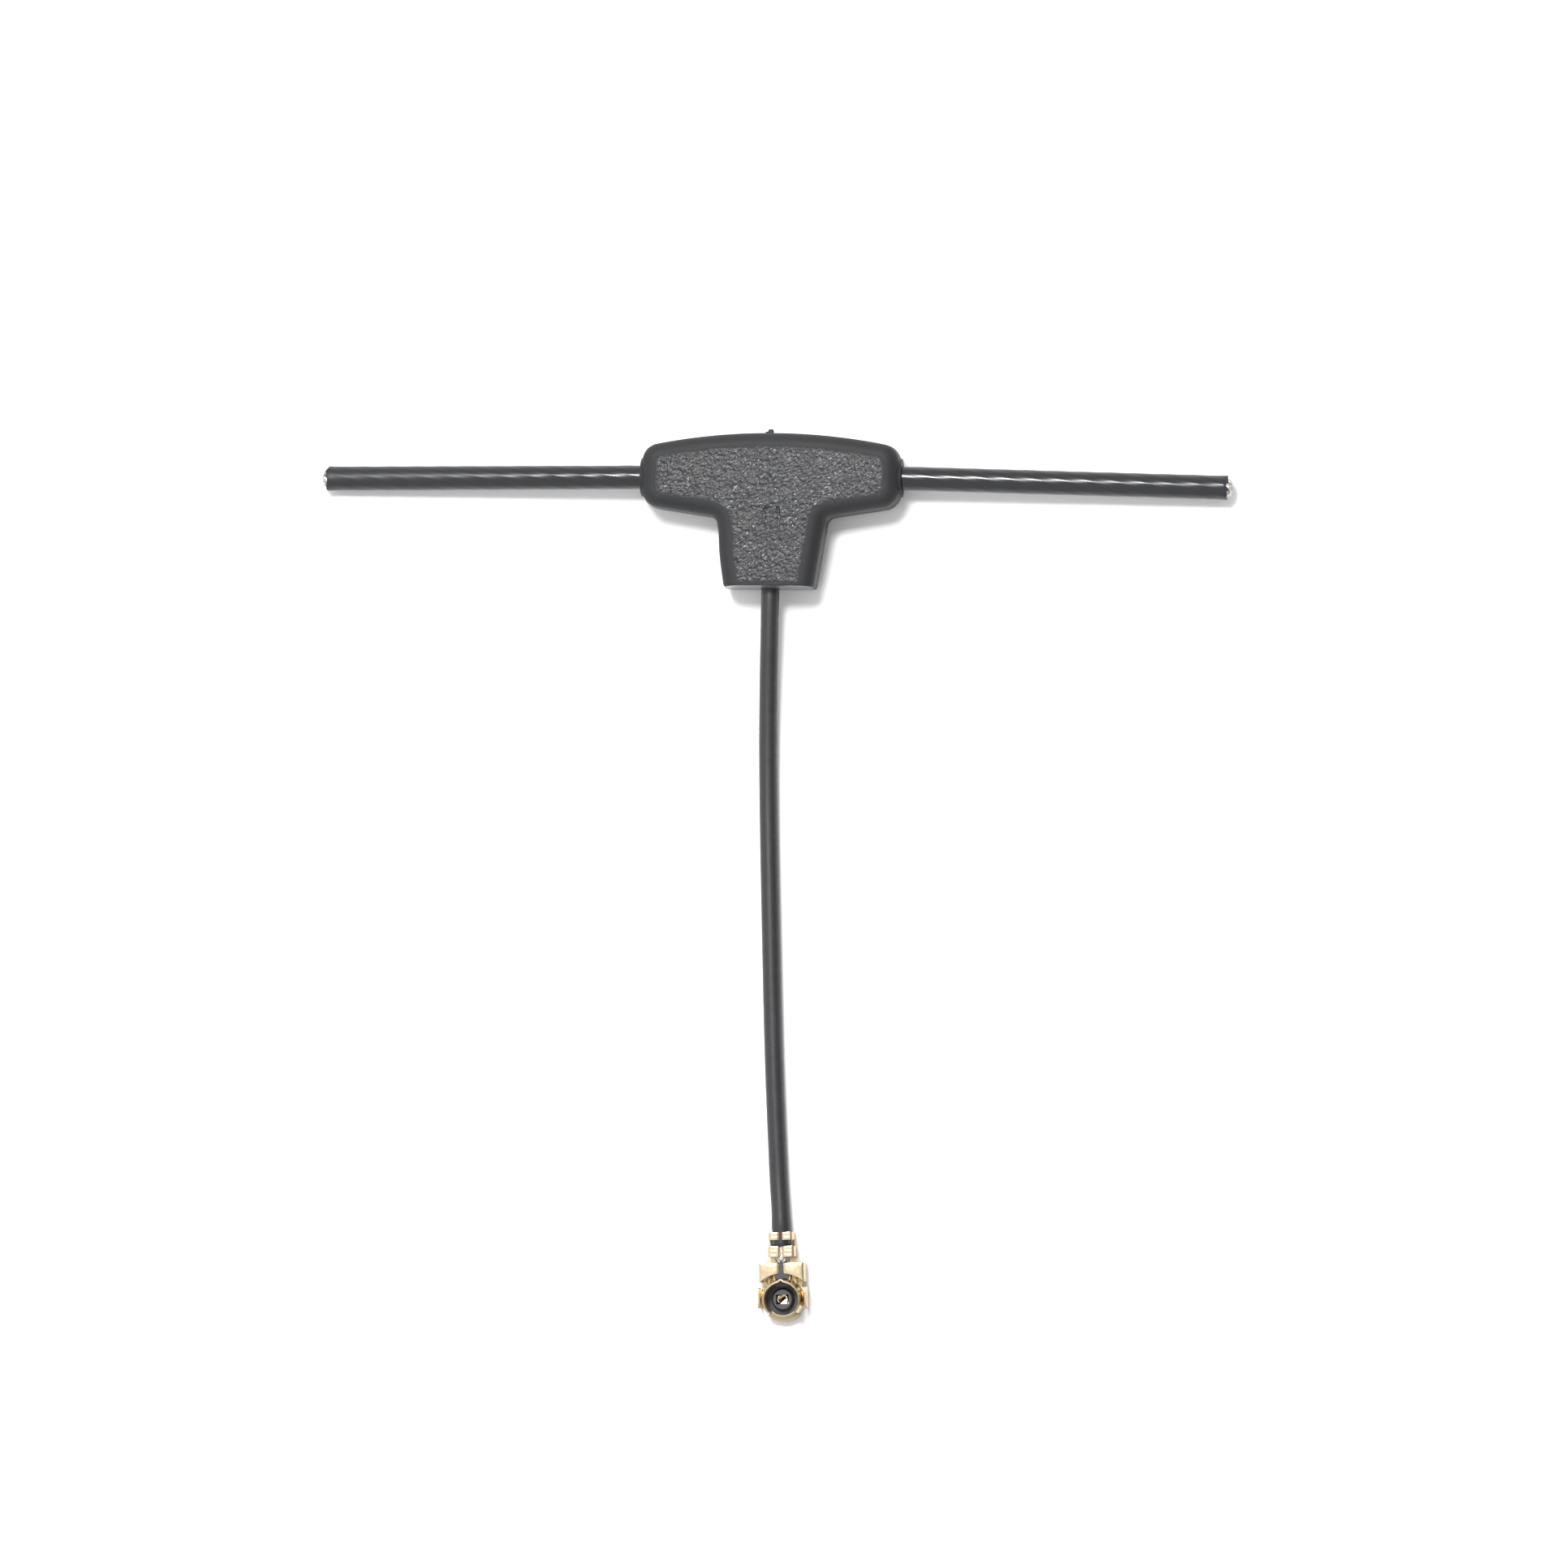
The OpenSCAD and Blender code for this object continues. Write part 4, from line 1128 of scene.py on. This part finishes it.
    def neck_section(self):
        """Half section of the neck band, with the bend along its wing."""
        section = [(0.9, 0.0)] + self.corner(1.18, 0.25, 0.25, -90, 0)
        section += [(1.43, 0.5), (1.43, 0.85)] + self.corner(1.19, 1.15, 0.24, 0, 78)
        return section + [
            (1.1, 1.4), (0.95, 1.42), (0.83, 1.436), (0.77, 1.442), (0.65, 1.444), (0.5, 1.446), (0.36, 1.444),
            (0.27, 1.435), (0.2, 1.415), (0.14, 1.38), (0.11, 1.33)]

    def crimp_section(self, width, height, low):
        """Half section of a crimp, whose wing rolls in at the seam."""
        half, r = width / 2, 0.24
        top = low + height
        section = [(half - r - 0.15, low)] + self.corner(half - r, low + r, r, -90, 0)
        section += [(half, low + 0.4 * height)] + self.corner(half - r, top - r, r, 0, 84)
        reach = half - r - 0.28
        section += [(0.28 + reach * (1 - i / 6), top + 0.012 * math.sin(math.pi * i / 6)) for i in range(1, 7)]
        return section + [
            (0.2, top - 0.006), (0.14, top - 0.025), (0.1, top - 0.06), (0.07, top - 0.12), (0.055, top - 0.19)]

    def wing(self, side, section, front, rear, corner, dents):
        """Half of a band over its section. The free end has round corners."""
        rows, travelled, last_upright = [], 0.0, 15
        for i in range(len(section) - 1, -1, -1):
            x, z = section[i]
            if i < len(section) - 1:
                travelled += math.dist(section[i], section[i + 1])
            near = max(0.0, corner - travelled)
            inset = corner - math.sqrt(corner ** 2 - near ** 2)
            first = (front(x) if callable(front) else front) + inset
            last = rear - inset
            over = i > last_upright
            row = []
            for k, y in enumerate(evenly(first, last, 12)):
                drop = 0.02 * abs(2 * k / 12 - 1) ** 3 if over else 0.0
                for dx, dy, wide, long in dents:
                    drop += 0.03 * math.exp(-((x - dx) / wide) ** 4 - ((y - dy) / long) ** 2) * over
                wave = 0.008 * noise.noise(Vector((side * x, y, z)) / 0.25)
                row.append(Vector((side * (x + wave), y, z - drop + wave)))
            rows.append(row)
        return gridded(rows[::-1], side < 0)


class ANTENNA_OT_plug_core(Operator):
    """Finish the plug's moulding and form its centre contact"""

    bl_idname = "antenna.plug_core"
    bl_label = "Plug core"

    def execute(self, context):
        s = context.scene.antenna_plug
        soften(dress("connector_insulator", moulding_of_the_plug(s)), s.edge_break)
        parts = [self.tab(), self.tongue()] + [self.prong(side) for side in (-1, 1)]
        points, faces = placed(joined(parts), plug_matrix(s) @ Matrix.Scale(MM, 4))
        material = plated("Contact plating", s.gold_colour, 0.05 * MM, (0.18, 0.3))
        piece = new_piece("plug_contact", points, faces, material)
        thicken(piece, s.sheet / 2, s.edge_break / 2)
        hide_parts("centre_contact")
        return {"FINISHED"}

    def prong(self, side):
        """Leaf that bows out between the boss's walls."""
        half, low, height = 0.195, 0.46, 0.68
        return gridded([
            [Vector((side * (0.35 - 0.09 * t * t - 0.03 * up), half * t, low + height * up))
             for t in evenly(-1, 1, 8)]
            for up in evenly(0, 1, 5)], side < 0)

    def tab(self):
        """Floor of the pocket, with its folded corner."""
        def height(x, y):
            fold = (y + 0.04) - 0.9 * (x - 0.02)
            return max(0.5, 0.66 - 0.22 * y - 0.6 * max(0.0, fold))

        half, long = 0.37, 0.28
        return gridded([
            [Vector((x, y, height(x, y))) for x in evenly(-half, half, 14)] for y in evenly(-long, long, 12)])

    def tongue(self):
        return gridded([[Vector((x, y, 0.56)) for x in (-0.17, 0.0, 0.17)] for y in (0.2, 0.8, 1.2, 1.66)])


class ANTENNA_OT_inner_layers(Operator):
    """Finish the dielectric, the inner conductor and the solder joints"""

    bl_idname = "antenna.inner_layers"
    bl_label = "Inner layers"

    def execute(self, context):
        s = context.scene.antenna_lead
        arms = context.scene.antenna_arms
        white = Finish("Dielectric", s.dielectric_colour, 0.4)
        white.cloud(0.5 * MM, 0.4, shade(s.dielectric_colour, 0.94))
        white.relief(white.noise(0.2 * MM), 0.003 * MM)
        dress("cable_dielectric", white.material)
        dress("cable_core", plated("Plated conductor", arms.strand_colour, 0.05 * MM))
        solder = plated("Solder", s.solder_colour, 0.3 * MM, (0.25, 0.45))
        for side in ("left", "right"):
            dress(f"{side}_solder_joint", solder)
        return {"FINISHED"}


def thicken(piece, sheet, edge_break):
    """Gives an open surface the thickness of its sheet. The cut edges take the
    next material, if there is one."""
    fold = piece.modifiers.new("Sheet", "SOLIDIFY")
    fold.thickness = sheet
    fold.offset = -1.0
    fold.material_offset_rim = 1
    soften(piece, edge_break)


def soften(piece, width):
    """Welds a node's mesh and rounds its edges, without changing the mesh itself."""
    weld = piece.modifiers.new("Weld", "WELD")
    weld.merge_threshold = 0.0005 * MM
    bevel = piece.modifiers.new("Broken edges", "BEVEL")
    bevel.width = width
    bevel.segments = 2
    bevel.limit_method = "ANGLE"
    bevel.angle_limit = math.radians(35)
    bevel.use_clamp_overlap = True


class ANTENNA_PT_panel(Panel):
    """Lists the pieces of the antenna and their sizes"""

    bl_idname = "ANTENNA_PT_panel"
    bl_label = "T-shaped antenna"
    bl_space_type = "VIEW_3D"
    bl_region_type = "UI"
    bl_category = "Antenna"

    def draw(self, context):
        for operator in OPERATORS:
            self.layout.operator(operator.bl_idname)
        for name, group in SETTINGS.items():
            box = self.layout.box()
            box.label(text=group.__name__.replace("Settings", ""))
            for prop in group.__annotations__:
                box.prop(getattr(context.scene, name), prop)


OPERATORS = (
    ANTENNA_OT_stage,
    ANTENNA_OT_plug_shell,
    ANTENNA_OT_plug_core,
    ANTENNA_OT_lead,
    ANTENNA_OT_braid,
    ANTENNA_OT_housing,
    ANTENNA_OT_arm_jackets,
    ANTENNA_OT_strands,
    ANTENNA_OT_inner_layers,
)
CLASSES = tuple(SETTINGS.values()) + OPERATORS + (ANTENNA_PT_panel,)


def register():
    for cls in CLASSES:
        bpy.utils.register_class(cls)
    for name, group in SETTINGS.items():
        setattr(bpy.types.Scene, name, PointerProperty(type=group))


def unregister():
    for name in SETTINGS:
        delattr(bpy.types.Scene, name)
    for cls in reversed(CLASSES):
        bpy.utils.unregister_class(cls)


def main():
    register()
    for operator in OPERATORS:
        getattr(bpy.ops.antenna, operator.bl_idname.split(".")[1])()


if __name__ == "__main__":
    main()
